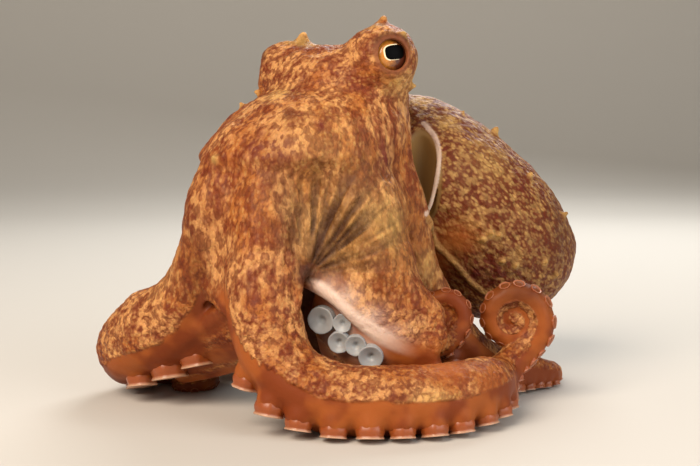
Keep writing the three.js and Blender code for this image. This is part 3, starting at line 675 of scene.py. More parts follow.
class Field:
    """Distance to the animal's surface at the points of a regular grid, negative inside."""

    def __init__(self, step):
        self.step = step
        self.low = np.floor(GRID_LOW / step).astype(int)
        self.shape = np.ceil((GRID_HIGH - GRID_LOW) / step).astype(int) + 1
        self.values = np.full(self.shape, BAND, np.float32)
        self.transform = vdb.createLinearTransform(voxelSize=step)

    def window(self, low, high):
        """The slices of the grid that hold a box, its three axes of places, and its first cell."""
        first = np.maximum(np.floor(np.asarray(low) / self.step).astype(int) - self.low, 0)
        last = np.minimum(np.ceil(np.asarray(high) / self.step).astype(int) - self.low + 1, self.shape)
        slices = tuple(slice(a, b) for a, b in zip(first, last))
        axes = [(np.arange(a, b) + o) * self.step for a, b, o in zip(first, last, self.low)]
        return slices, np.meshgrid(*axes, indexing="ij", sparse=True), first + self.low

    def join(self, slices, other, blend, sign=1):
        """Adds other to the animal, with a fillet of size blend where they meet."""
        own = self.values[slices] * sign
        near = np.maximum(1 - np.abs(own - other) / blend, 0)
        self.values[slices] = sign * (np.minimum(own, other) - near * near * (blend / 4))

    def cut(self, slices, other, blend):
        """Takes other away from the animal, with an edge rounded by blend."""
        self.join(slices, other, blend, -1)

    def join_mesh(self, mesh, blend):
        """Adds a closed mesh. blend is a size, or a function of the height."""
        points, quads = mesh
        slices, places, first = self.window(points.min(0) - BAND, points.max(0) + BAND)
        grid = vdb.FloatGrid.createLevelSetFromPolygons(
            points.astype(np.float32),
            quads=quads.astype(np.uint32),
            transform=self.transform,
            halfWidth=BAND / self.step,
        )
        other = np.empty([s.stop - s.start for s in slices], np.float32)
        grid.copyToArray(other, ijk=tuple(int(v) for v in first))
        self.join(slices, other, blend(places[2]) if callable(blend) else blend)

    def ellipsoid(self, middle, halves, turn=0.0):
        """The slices round an ellipsoid that is turned about Z, and its field there."""
        reach = max(halves) + BAND
        slices, (x, y, z), _ = self.window(np.asarray(middle) - reach, np.asarray(middle) + reach)
        dx, dy, dz = x - middle[0], y - middle[1], z - middle[2]
        c, s = math.cos(turn), math.sin(turn)
        u, v = dx * c + dy * s, dy * c - dx * s
        a, b, h = halves
        near = np.sqrt((u / a) ** 2 + (v / b) ** 2 + (dz / h) ** 2)
        slope = np.sqrt((u / a**2) ** 2 + (v / b**2) ** 2 + (dz / h**2) ** 2)
        return slices, (near * (near - 1) / np.maximum(slope, 1e-6)).astype(np.float32)

    def cone(self, foot, tip, foot_radius, tip_radius):
        """The slices round a rounded cone, and its field there."""
        foot, tip = np.asarray(foot, float), np.asarray(tip, float)
        reach = max(foot_radius, tip_radius) + CONE_BAND
        slices, (x, y, z), _ = self.window(np.minimum(foot, tip) - reach, np.maximum(foot, tip) + reach)
        axis = tip - foot
        dx, dy, dz = x - foot[0], y - foot[1], z - foot[2]
        t = np.clip((dx * axis[0] + dy * axis[1] + dz * axis[2]) / (axis @ axis), 0, 1)
        away = np.sqrt((dx - t * axis[0]) ** 2 + (dy - t * axis[1]) ** 2 + (dz - t * axis[2]) ** 2)
        return slices, (away - foot_radius - (tip_radius - foot_radius) * t).astype(np.float32)

    def join_sheet(self, guides, blend):
        """Adds a soft sheet that lies across a row of guiding lines of (x, y, z, half thickness)."""
        lines = np.array([spline(guide, SHEET_FINE)[0] for guide in guides])
        patch = Field(self.step)
        rows = SHEET_ROWS * len(guides)
        across = np.stack([spline(lines[:, i], rows)[0] for i in range(SHEET_FINE)], axis=1)
        for line in across:
            for a, b in zip(line[:-1], line[1:]):
                slices, part = patch.cone(a[:3], b[:3], a[3], b[3])
                patch.values[slices] = np.minimum(patch.values[slices], part)
        places = across[..., :3]
        slices, _, _ = self.window(places.min((0, 1)) - BAND, places.max((0, 1)) + BAND)
        self.join(slices, patch.values[slices], blend)

    def fair(self, times):
        """Evens out small creases."""
        for axis in [0, 1, 2] * times:
            v = np.moveaxis(self.values, axis, 0)
            v[1:-1] = 0.5 * v[1:-1] + 0.25 * (v[:-2] + v[2:])

    def at(self, points):
        """The field at points, from the nearest grid place."""
        index = np.rint(np.asarray(points) / self.step).astype(int) - self.low
        inside = np.all((index >= 0) & (index < self.shape), axis=-1)
        index = np.clip(index, 0, self.shape - 1)
        return np.where(inside, self.values[index[..., 0], index[..., 1], index[..., 2]], BAND)

    def slope(self, points):
        """The outward direction at points."""
        ways = np.eye(3) * self.step * 2
        return unit(np.stack([self.at(points + way) - self.at(points - way) for way in ways], axis=-1))

    def seen(self, marks):
        """Where lines of sight through (x, z) on the plane y = 0 first meet the animal, or pass nearest."""
        aims = np.array([(m[0], 0, m[1]) for m in marks], float)
        lines = unit(aims - CAMERA)
        reach = np.arange(FAR, 2 * FAR, self.step * 0.5)
        points = CAMERA + lines[:, None] * reach[None, :, None]
        values = self.at(points)
        first = np.where((values < 0).any(1), np.argmax(values < 0, axis=1), np.argmin(values, axis=1))
        return points[np.arange(len(marks)), first]

    def seen_line(self, marks, count):
        """A curve of (x, y, z, radius) over the animal through marks of (x, z, radius)."""
        radii = [mark[2] for mark in marks]
        return spline(np.column_stack([self.seen(marks), radii]), count)[0]

    def polygons(self):
        """The surface as corners and quads."""
        grid = vdb.FloatGrid()
        grid.background = BAND
        grid.transform = self.transform
        grid.copyFromArray(self.values, ijk=tuple(int(v) for v in self.low))
        points, _, quads = grid.convertToPolygons(isovalue=0, adaptivity=0)
        return points.astype(float), quads.astype(np.int64)


def socket_centre(side):
    """The middle of the round socket in a brow."""
    brow = BROWS[side]
    return np.array(brow["middle"]) + unit(brow["axis"]) * EYE_SET_OUT


def eye_centre(side):
    """The middle of an eyeball, and the way that it looks."""
    return socket_centre(side) + EYE_EASED[side], unit(EYE_LOOKS[side])


def sucker_row(name, line):
    """Each sucker of an arm: its rim's middle, the way it faces, the way along the arm, its radius."""
    settings = bpy.context.scene.octopus_suckers
    rows = []
    u, last = SUCKERED.get(name, SUCKERED_ELSE)
    while u < last:
        at = int(round(u * (len(line["share"]) - 1)))
        arm_radius, out, point = line["radius"][at], line["oral"][at], line["points"][at]
        coiled = smooth_step(0, COIL_SOON, u - line["coiled"])
        radius = arm_radius * (settings.share + COIL_SHARE * coiled)
        rim = point + out * (arm_radius + SUCKER_STANDS * radius * (1 - coiled))
        lying = smooth_step(*SUCKER_NEAR, point[2] / arm_radius) * (1 - coiled)
        if lying > 0:
            outward = unit(out * LEVEL)
            foot = point + outward * arm_radius * SUCKER_ASIDE
            below = point[2] - SUCKER_BELOW[0] * arm_radius - SUCKER_BELOW[1] * radius
            foot[2] = max(SUCKER_LOWEST[0] + radius * SUCKER_LOWEST[1], below)
            rim = rim * (1 - lying) + foot * lying
            out = unit(out * (1 - lying) + unit(outward * SUCKER_SPLAY - UP) * lying)
        rows.append((rim, out, unit(np.cross(np.cross(out, line["along"][at]), out)), radius))
        u += settings.pitch * radius / line["length"]
    return rows


def at_depth(rows):
    """Rows of a line of sight's x and z, then y, as places at that y. What follows is kept."""
    rows = np.asarray(rows, float)
    aims = np.column_stack([rows[:, 0], np.zeros(len(rows)), rows[:, 1]])
    places = CAMERA + (aims - CAMERA) * (1 - rows[:, 2:3] / CAMERA[1])
    return np.column_stack([places, rows[:, 3:]])


def build_field(step, lines):
    """The whole animal's flesh as one field."""
    field = Field(step)
    soft = FILLETS
    field.join_mesh(tube_mesh([(x, y, z, radius) for z, x, y, radius in CROWN]), soft["crown"])
    field.join_mesh(tube_mesh(CORE), soft["core"])
    for row in WEBS:
        field.join_mesh(web_mesh(lines, row), soft["web"])
    rooted = soft["arm_root"] - soft["arm"]
    for name in ARM_ORDER:
        field.join_mesh(arm_mesh(lines[name]), lambda z: soft["arm"] + rooted * smooth_step(*ARM_ROOTED, z))
        for rim, out, _, radius in sucker_row(name, lines[name]):
            body = field.ellipsoid(rim - out * radius * SUCKER_BODY, [radius * SUCKER_BULGE] * 3)
            field.join(*body, soft["sucker"])
        coil = ARMS[name]["coil"]
        if not coil["flat"]:
            field.join(*field.ellipsoid(coil["middle"], COIL_HEART), soft["heart"])
    for guides in (FOLD_LINES, ARCH_LINES):
        field.join_sheet([at_depth(guide) for guide in guides], soft["sheet"])
    field.fair(FAIRED)
    turn = math.atan2(LEFTWARD[1], LEFTWARD[0])
    field.join(*field.ellipsoid(HEAD_CENTRE, HEAD_HALVES, turn), soft["head"])
    for brow in BROWS.values():
        field.join(*field.ellipsoid(brow["middle"], [brow["radius"]] * 3), soft["brow"])
    field.join_mesh(mantle_mesh(), soft["mantle"])
    join_funnel(field)
    field.fair(FAIRED)
    carve_neck(field)
    for side in BROWS:
        join_eye_flesh(field, side)
    join_papillae(field)
    floor, (_, _, z), _ = field.window(GRID_LOW, GRID_HIGH)
    field.values[floor] = np.maximum(field.values[floor], -z.astype(np.float32))
    return field


def join_funnel(field):
    """The funnel, with its open mouth."""
    root, mouth = np.array(FUNNEL["root"], float), np.array(FUNNEL["mouth"], float)
    field.join(*field.cone(root, mouth, FUNNEL["root_radius"], FUNNEL["mouth_radius"]), FILLETS["funnel"])
    way = mouth - root
    inner, outer = mouth - way * FUNNEL["depth"], mouth + unit(way) * FUNNEL["beyond"]
    field.cut(*field.cone(inner, outer, *FUNNEL["bore"]), FILLETS["bore"])


def carve_neck(field):
    """The gap between the mantle's free edge and the neck, with the edge itself and the keel."""
    lines = [field.seen_line(marks, EDGE_RINGS) for marks in (MANTLE_EDGE, KEEL)]
    field.cut(*field.ellipsoid(SLIT["middle"], SLIT["halves"]), FILLETS["slit"])
    for rows in lines:
        for a, b in zip(rows[:-1], rows[1:]):
            field.join(*field.cone(a[:3], b[:3] + 1e-6, a[3], b[3]), FILLETS["edge"])


def join_eye_flesh(field, side):
    """The lids round an eyeball, and the hollow that it lies in."""
    centre, axis = eye_centre(side)
    field.join(*field.ellipsoid(centre, [EYE_BALL_RADIUS + LID_THICKNESS] * 3), FILLETS["eye"])
    rise = math.sqrt(EYE_BALL_RADIUS**2 - EYE_OPENING**2)
    slices, (x, y, z), _ = field.window(centre - EYE_WINDOW, centre + EYE_WINDOW)
    dx, dy, dz = x - centre[0], y - centre[1], z - centre[2]
    ahead = dx * axis[0] + dy * axis[1] + dz * axis[2]
    aside = np.sqrt(np.maximum(dx**2 + dy**2 + dz**2 - ahead**2, 0))
    for out, forward, thickness in LID_FOLDS:
        ring = np.sqrt((aside - EYE_OPENING - out) ** 2 + (ahead - rise - forward) ** 2) - thickness
        field.join(slices, ring.astype(np.float32), FILLETS["lid"])
    tunnel = np.maximum(aside - EYE_OPENING, -ahead)
    field.cut(slices, tunnel.astype(np.float32), FILLETS["opening"])
    field.cut(*field.ellipsoid(centre, [EYE_BALL_RADIUS + SOCKET_GAP] * 3), FILLETS["ball"])


def join_papillae(field):
    """The horns over the eyes and the taller papillae."""
    for brow in BROWS.values():
        foot = np.array(brow["horn"], float)
        tip = foot + [HORN_LEAN, 0, HORN_HEIGHT - HORN_TIP]
        field.join(*field.cone(foot - UP * HORN_SUNK, tip, HORN_RADIUS, HORN_TIP), FILLETS["horn"])
    feet = field.seen(PAPILLAE)
    outward = field.slope(feet)
    for foot, way, (_, _, radius, height) in zip(feet, outward, PAPILLAE):
        tip = foot + unit(way + UP * PAPILLA_LIFT) * height
        cone = field.cone(foot - way * PAPILLA_SUNK, tip, radius, radius * PAPILLA_TAPER)
        field.join(*cone, FILLETS["papilla"])
    horns = [np.array(brow["horn"]) + UP * HORN_HEIGHT for brow in BROWS.values()]
    field.tips = np.vstack([feet + outward * PAPILLA_PALE, horns])


# ---- noise ----

PLACE_PRIMES = (73856093, 19349663, 83492791)  # these give neighbours quite different numbers
SEED_PRIME = 2654435761
MIX_PRIME = 1274126177
GRANULE_LOOSE = 0.8  # how far a granule's middle strays in its cell, as a share of it
GRANULE_STEEP = 1.6


def lattice(cell, seed):
    """A fixed random number from 0 to 1 for each whole place."""
    x, y, z = (cell[..., i].astype(np.int64) * prime for i, prime in enumerate(PLACE_PRIMES))
    h = x ^ y ^ z ^ (seed * SEED_PRIME)
    h = (h ^ (h >> 13)) * MIX_PRIME & 0xFFFFFFFF
    h = (h ^ (h >> 16)) & 0xFFFFFF
    return h / float(0xFFFFFF)


def noise(points, size, seed=0):
    """Soft noise from -1 to 1, with features of the given size."""
    p = points / size
    cell = np.floor(p)
    w = p - cell
    w = w * w * (3 - 2 * w)
    total = 0
    for corner in np.ndindex(2, 2, 2):
        weight = np.prod(np.where(corner, w, 1 - w), axis=-1)
        total = total + weight * lattice(cell + corner, seed)
    return total * 2 - 1


def granules(points, size, seed=0):
    """Rounded bumps from 0 to 1, one in each cell of the given size."""
    p = points / size
    cell = np.floor(p)
    best = np.full(len(points), 9.0)
    for offset in np.ndindex(3, 3, 3):
        other = cell + offset - 1
        strays = np.stack([lattice(other, seed + k) for k in range(3)], axis=-1) - 0.5
        middle = other + 0.5 + GRANULE_LOOSE * strays
        best = np.minimum(best, np.sum((p - middle) ** 2, axis=-1))
    return np.clip(1 - best * GRANULE_STEEP, 0, 1)


# ---- meshes in Blender ----

WELD = 0.001  # corners nearer than this are one corner, mm


def shift():
    """From the modeller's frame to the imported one, mm."""
    low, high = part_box("eye_left")
    return np.array((low + high) / 2) / MM - socket_centre("left")


def add_mesh(name, points, faces, materials, face_material=None, attributes=None):
    """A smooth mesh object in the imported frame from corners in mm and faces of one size."""
    mesh = bpy.data.meshes.new(name)
    faces = np.asarray(faces, np.int64)
    count, sides = faces.shape
    mesh.vertices.add(len(points))
    mesh.vertices.foreach_set("co", ((np.asarray(points) + shift()) * MM).astype(np.float32).ravel())
    mesh.loops.add(count * sides)
    mesh.loops.foreach_set("vertex_index", faces.astype(np.int32).ravel())
    mesh.polygons.add(count)
    mesh.polygons.foreach_set("loop_start", np.arange(0, count * sides, sides, dtype=np.int32))
    for material in materials:
        mesh.materials.append(material)
    if face_material is not None:
        mesh.polygons.foreach_set("material_index", np.asarray(face_material, np.int32))
    mesh.polygons.foreach_set("use_smooth", np.ones(count, bool))
    for key, values in (attributes or {}).items():
        values = np.asarray(values, np.float32)
        layer = mesh.attributes.new(key, "FLOAT" if values.ndim == 1 else "FLOAT_VECTOR", "POINT")
        layer.data.foreach_set("value" if values.ndim == 1 else "vector", values.ravel())
    mesh.update(calc_edges=True)
    whole = bmesh.new()
    whole.from_mesh(mesh)
    bmesh.ops.remove_doubles(whole, verts=whole.verts, dist=WELD * MM)
    whole.to_mesh(mesh)
    whole.free()
    piece = bpy.data.objects.new(name, mesh)
    bpy.context.scene.collection.objects.link(piece)
    return piece


def corner_normals(points, quads):
    """The outward direction at each corner."""
    a, b, c, d = (points[quads[:, i]] for i in range(4))
    face = np.cross(c - a, d - b)
    normals = np.zeros_like(points)
    for i in range(4):
        for k in range(3):
            normals[:, k] += np.bincount(quads[:, i], weights=face[:, k], minlength=len(points))
    return unit(normals)


def largest_piece(points, quads):
    """Only the biggest connected part of a mesh."""
    label = np.arange(len(points))
    edges = np.concatenate([quads[:, [i, (i + 1) % 4]] for i in range(4)])
    while True:
        low = np.minimum(label[edges[:, 0]], label[edges[:, 1]])
        new = label.copy()
        np.minimum.at(new, edges[:, 0], low)
        np.minimum.at(new, edges[:, 1], low)
        new = new[new]
        new = new[new]
        if np.array_equal(new, label):
            break
        label = new
    names, counts = np.unique(label, return_counts=True)
    keep = label == names[np.argmax(counts)]
    fresh = np.cumsum(keep) - 1
    return points[keep], fresh[quads[keep[quads[:, 0]]]]


# ---- the skin's zones ----

# The values at which there is none of a zone, and all of it.
FADES = {
    "on_arm": (4, 1.5),  # distance from an arm's surface
    "oral": (0.4, 0.48),  # how far round towards the suckers, 1 where they are
    "oral_root": (0.08, 0.16),  # share of the arm's length
    "oral_top": (50, 42),  # height: the skin above is the same all round
    "bared": (0, 0.04),  # share of the arm's length, from its coil
    "inside": (0.05, -0.25),  # how far a face looks away from the webs' heart
    "inside_top": (95, 80),
    "under": (9, 3),  # distance from an arm's surface
    "inner_top": (64, 54),
    "lining": (1.06, 0.96),  # squared distance from the slit's middle, 1 on its outline
    "margin_left": (24, 4),  # how far to the animal's left and right the pale margin runs
    "margin_right": (-15, -9),
    "ahead": (1, 3),  # distance ahead of an eye's middle
    "lid": (EYE_OPENING + 2.2, EYE_OPENING + 0.9),
    "shade": (EYE_OPENING + 4, EYE_OPENING + 0.5),
    "over": (0.1, 0.8),  # how far above the eye, 1 straight over it
    "folded": (7, 3.5),  # distance from the inner lines of the fold and the arch
    "mantle": (1.2, 1.05),  # distance from its axis, in radii
    "front": (0.1, -0.35),  # the folds at the pinch: which way a face looks, how far back it lies
    "front_back": (8, -12),
    "pinch": (3, 7),  # distance from it
    "floor": (0.3, 1.5),  # height: the flesh on the floor has no relief
}
ORAL_WOBBLE = (0.05, 5)  # how far the edge of the suckered side strays, and over how many mm
INSIDE_LEVEL = np.array([1, 1, 0.4])  # a face's height counts for less than where it looks
LINING_REACH = 1.0  # how far past the slit's outline its lining is seen
RIM_STRENGTH = 0.7  # of the mantle's edge, where the web's margin has 1
# How far the pale colour reaches from the mantle's edge, the web's margin and the keel, and the painted shade
# from the core.
REACHES = {"edge": 0.8, "margin": 2.4, "keel": 0.9, "core": 4}
NEAR_CORE = 0.35  # the share of its reach over which a line's colour is full
TIP_SPREAD = 3  # mm2
LINE_FINE = 40  # points that a line is looked at in
FOLD_FINE = 20
MANTLE_FINE = 60
MANTLE_EVERY = 4
FOLD_SHADE_FROM = 0.4  # painted shade in a fold: its strength at the middle of the fold's wave
FOLD_SHADE_STEEP = 1.2  # and how fast it grows towards the fold's bottom
# How far each zone smooths the skin.
SMOOTHED = {"oral": 1, "lining": 1, "rim": 0.7, "lid": 0.7, "inner": 1, "warm": 0.6}
ARM_WINDOW = 18  # corners this far from an arm's axis can be on it
ARM_EVERY = 3  # every so many rings of an arm are enough to tell where a corner is on it
CHUNK = 20000  # corners worked on at a time
MANTLE_WARD = np.array([0.857, 0.514, 0])  # the mantle's skin starts this far this way
MANTLE_FROM = 23.5
GRAIN_RUN = 0.55  # the mantle's pattern is this much closer packed along it
# Elsewhere the pattern is closer packed in height where the skin is stretched least.
GRAIN_HEIGHTS = ([0, 40, 60, 108, 116, 150], [0, 40, 53, 82, 90, 124])


def fade(zone, value):
    """How much of a zone there is at a value."""
    return smooth_step(*FADES[zone], value)


def arm_zones(points, lines):
    """How far round to its arm's suckered side each corner is, its share along the arm, how far off."""
    nearest = np.full(len(points), 1e9)
    facing = np.full(len(points), -1.0)
    share = np.zeros(len(points))
    for line in lines.values():
        low = line["points"].min(0) - ARM_WINDOW
        high = line["points"].max(0) + ARM_WINDOW
        near = np.flatnonzero(np.all((points > low) & (points < high), axis=1))
        every = slice(None, None, ARM_EVERY)
        middles = line["points"][every].astype(np.float32)
        radius = line["radius"][every].astype(np.float32)
        for part in np.array_split(near, max(1, len(near) // CHUNK)):
            own = points[part].astype(np.float32)
            away = np.sqrt(((own[:, None] - middles[None]) ** 2).sum(-1)) - radius[None]
            index = away.argmin(1)
            gap = away[np.arange(len(part)), index]
            closer = gap < nearest[part]
            chosen = part[closer]
            index = index[closer]
            nearest[chosen] = gap[closer]
            aside = unit(own[closer] - middles[index])
            facing[chosen] = np.sum(aside * line["oral"][every][index], axis=1)
            share[chosen] = line["share"][every][index]
            facing[chosen] += line["bared"] * fade("bared", share[chosen] - line["coiled"])
    return facing, share, nearest


def spots(points, field, kind):
    """Strength of one kind of mark at each corner."""
    total = np.zeros(len(points))
    marks = MARKS[kind]
    for middle, (_, _, wide, high, strength) in zip(field.seen(marks), marks):
        offset = (points - middle) / [wide, max(wide, high), high]
        total = np.maximum(total, strength * np.exp(-np.sum(offset**2, axis=1)))
    return total


def pinch_folds(points, normals):
    """The fine folds where the web is gathered, from -1 in one to 1 on a ridge, and their strength."""
    toward = unit(points - CAMERA)
    aim = CAMERA + toward * (-CAMERA[1] / toward[:, 1])[:, None]
    across, up = aim[:, 0] - PINCH[0], aim[:, 2] - PINCH[1]
    away = np.hypot(across, up)
    angle = np.arctan2(across, up)  # 0 is straight up, positive to the animal's left
    fan = np.exp(-(((angle - PINCH_LEAN) / PINCH_SPREAD) ** 2))
    front = fade("front", normals[:, 1]) * fade("front_back", points[:, 1])
    strength = np.clip(PINCH_STRENGTH * fan * smooth_step(PINCH_REACH, PINCH_FULL, away), 0, 1) * front
    place = np.column_stack([angle * PINCH_WAVES, away / PINCH_LENGTH, np.zeros(len(points))])
    waves = PINCH_HEIGHTS[0] * noise(place, 1, 5)
    for finer, first in PINCH_FINER:
        fine = noise(place * [finer, 1, 1], 1, 7) * smooth_step(first, PINCH_SOON * first, away)
        waves = waves + PINCH_HEIGHTS[1] * fine
    return np.clip(waves, -1, 1), strength * fade("pinch", away)


def near_line(points, line, reach):
    """1 on a line of (x, y, z, radius), 0 beyond reach from its surface."""
    away = np.full(len(points), np.inf)
    for row in line:
        away = np.minimum(away, np.linalg.norm(points - row[:3], axis=1) - row[3])
    return smooth_step(reach, reach * NEAR_CORE, away)


def eye_zones(points):
    """The lids round both eyes, and the shade over them."""
    lids = np.zeros(len(points))
    shade = np.zeros(len(points))
    for side in BROWS:
        centre, axis = eye_centre(side)
        from_eye = points - centre
        ahead = from_eye @ axis
        aside = np.sqrt(np.maximum(np.sum(from_eye**2, axis=1) - ahead**2, 0))
        lids = np.maximum(lids, fade("lid", aside) * fade("ahead", ahead))
        over = fade("over", from_eye[:, 2] / np.maximum(aside, 1))
        shade = np.maximum(shade, fade("shade", aside) * fade("ahead", ahead) * over)
    return lids, shade


def skin_zones(points, normals, field, lines):
    """Every zone of the skin's colour and relief, from 0 to 1 at each corner, and the pinch's folds."""
    height = points[:, 2]
    facing, share, gap = arm_zones(points, lines)
    on_arm = fade("on_arm", gap)
    stray, size = ORAL_WOBBLE
    oral = fade("oral", facing + stray * noise(points, size, 11)) * on_arm
    oral = oral * fade("oral_root", share) * fade("oral_top", height)
    outward = unit((points - WEB_HEART) * INSIDE_LEVEL)
    inside = fade("inside", np.sum(outward * normals, axis=1)) * fade("inside_top", height)
    oral = np.maximum(oral, inside * fade("under", gap) * (1 - on_arm))
    inner_lines = FOLD_LINES[FOLD_MARGIN + 1 :] + ARCH_LINES
    folds = np.concatenate([spline(at_depth(guide), FOLD_FINE)[0] for guide in inner_lines])
    away = np.min([np.linalg.norm(points - row[:3], axis=1) for row in folds], axis=0)
    folded = fade("folded", away)
    margin = near_line(points, spline(at_depth(FOLD_LINES[FOLD_MARGIN]), LINE_FINE)[0], REACHES["margin"])
    margin = margin * fade("margin_left", points[:, 0]) * fade("margin_right", points[:, 0])
    edge = near_line(points, field.seen_line(MANTLE_EDGE, LINE_FINE), REACHES["edge"])
    slit = np.sum(((points - SLIT["middle"]) / (np.array(SLIT["halves"]) + LINING_REACH)) ** 2, axis=1)
    lids, shade = eye_zones(points)
    waves, gathered = pinch_folds(points, normals)
    axis = spline(MANTLE, MANTLE_FINE)[0][::MANTLE_EVERY]
    near = np.min([np.linalg.norm((points - row[:3]) / row[3], axis=1) for row in axis], axis=0)

    zones = {kind: spots(points, field, kind) for kind in MARKS}
    zones["lining"] = fade("lining", slit)
    zones["rim"] = np.maximum(RIM_STRENGTH * edge, margin)
    zones["lid"] = lids
    # Painted shade: the marks of shade, and the painted shadow of the upper lid over each eye
    zones["dark"] = np.maximum(zones["dark"], shade)
    zones["oral"] = np.maximum(oral, folded * (1 - zones["rim"]))
    zones["gathered"] = gathered * (1 - zones["oral"])
    # Painted shade in the troughs of the pinch's folds
    zones["streak"] = zones["gathered"] * np.clip(FOLD_SHADE_FROM - waves * FOLD_SHADE_STEEP, 0, 1)
    core = near_line(points, spline(CORE, LINE_FINE)[0], REACHES["core"])
    # Painted shade on the core's skin inside the webs
    zones["inner"] = core * fade("inner_top", height) * (1 - folded)
    zones["keel"] = near_line(points, field.seen_line(KEEL, LINE_FINE), REACHES["keel"])
    tips = [np.exp(-np.sum((points - tip) ** 2, axis=1) / TIP_SPREAD) for tip in field.tips]
    zones["tip"] = np.max(tips, axis=0)
    zones["mantle"] = fade("mantle", near) * (points @ MANTLE_WARD > MANTLE_FROM)
    zones["smooth"] = np.clip(sum(zones[kind] * much for kind, much in SMOOTHED.items()), 0, 1)
    zones["grain"] = grain(points, zones["mantle"])
    return zones, waves


def grain(points, mantle):
    """Places in metres, drawn together along the way in which the skin's pattern runs."""
    run = unit(np.array(MANTLE[-1][:3]) - MANTLE[0][:3])
    on_mantle = points - (points @ run)[:, None] * run * (1 - GRAIN_RUN)
    elsewhere = np.column_stack([points[:, :2], np.interp(points[:, 2], *GRAIN_HEIGHTS)])
    return np.where(mantle[:, None] > 0.5, on_mantle, elsewhere) * MM


# ---- materials ----


def add_node(tree, kind, settings=None, **links):
    """A node of a kind with its settings and inputs. An input is a value or another node's socket."""
    node = tree.nodes.new("ShaderNode" + kind)
    for key, value in (settings or {}).items():
        setattr(node, key, value)
    for key, value in links.items():
        socket = node.inputs[int(key[1:]) if key[1:].isdigit() else key.replace("_", " ")]
        if isinstance(value, bpy.types.NodeSocket):
            tree.links.new(value, socket)
        else:
            socket.default_value = value
    return node


def new_material(name, **values):
    """A node material with values on its shader's own sockets, its tree and its shader."""
    material = bpy.data.materials.new(name)
    material.use_nodes = True
    shader = next(n for n in material.node_tree.nodes if n.type == "BSDF_PRINCIPLED")
    for key, value in values.items():
        shader.inputs[key.replace("_", " ")].default_value = value
    return material, material.node_tree, shader


# The skin's patterns: the texture, its settings, which of its outputs, the size in mm, and the
# values that come out as 0 and 1. Real pigment cells are 0.1 to 1 mm across. The net and the
# flecks are drawn at 1.5 to 2.2 mm, because finer ones would blur to one brown in a whole view.
PATTERNS = {
    "patch": ("TexNoise", {}, "Fac", 15, 0.42, 0.58),
    "mottle": ("TexNoise", {}, "Fac", 5.2, 0.46, 0.62),
    "bare": ("TexNoise", {}, "Fac", 11, 0.58, 0.42),
    "gap": ("TexVoronoi", {"feature": "DISTANCE_TO_EDGE"}, "Distance", 2.0, 0.3, 0.0),
    "pebble": ("TexVoronoi", {"feature": "SMOOTH_F1"}, "Distance", 2.0, 0.75, 0.1),
    "dot": ("TexVoronoi", {"feature": "F1"}, "Distance", 1.5, 0.55, 0.15),
    "fleck": ("TexNoise", {}, "Fac", 2.2, 0.48, 0.62),
    "net": ("TexNoise", {}, "Fac", 2.2, 0.54, 0.42),
    "fine": ("TexNoise", {}, "Fac", 0.8, 0.35, 0.7),
}
WARP = 1.1  # how far the skin's pattern wanders, mm
WARP_SIZE = 3
BUMP_HEIGHT = 0.55  # of the pebbles, mm
BUMP_FINE = 0.35  # of the finest grain, as a share of it
BUMP_SMOOTHED = 0.9  # how much less there is where the skin is smooth
BUMP_STRENGTH = 0.9
# What colours the skin, in the order in which it is laid on: the colour, how much of it, and the
# patterns and zones that it keeps to.
LAYERS = [
    ("apricot", 1.0, "patch"),
    ("rust", 0.66, "mottle"),
    ("brown", 0.76, "mantle"),
    ("rust", 0.58, "net"),
    ("rust", 0.65, "gap", "mottle"),
    ("brown", 0.4, "gap", "net"),
    ("rust", 0.14, "gap"),
    ("apricot", 0.3, "dot", "bare"),
    ("cream", 0.25, "dot", "fleck"),
    ("cream", 0.3, "fleck", "mantle"),
    ("cream", 0.3, "dot", "mantle"),
    ("rust", 0.25, "fine"),
    ("cream", 0.5, "dot", "cream"),
    ("cream", 0.45, "fleck", "cream"),
    ("cream", 0.4, "cream"),
    ("olive", 0.8, "bare", "olive"),
    ("maroon", 1.0, "net", "maroon"),
    ("maroon", 0.6, "maroon"),
    ("flesh_pale", 0.85, "warm"),
    ("olive", 0.4, "gathered"),
    ("rim", 0.7, "pale"),
    # Painted shade in the troughs of the pinch's folds
    ("streak", 0.9, "streak"),
    ("cream", 0.8, "tip"),
    ("cream", 0.35, "keel"),
    # The suckered side's orange flesh, partly darkened as painted shade
    ("flesh", 1.0, "oral"),
    ("flesh_pale", 0.7, "oral", "patch"),
    ("rim", 0.9, "oral", "pale"),
    # Painted shade: brown on the core's skin inside the webs
    ("brown", 0.9, "inner"),
    # Painted shade: brown on the marks of shade, and the fold-shade colour where they are strongest, at the
    # pinch
    ("brown", 0.8, "dark"),
    ("streak", 0.75, "dark", "dark"),
    ("lining", 1.0, "lining"),
    ("rim", 1.0, "rim"),
    ("lid", 0.8, "lid"),
]


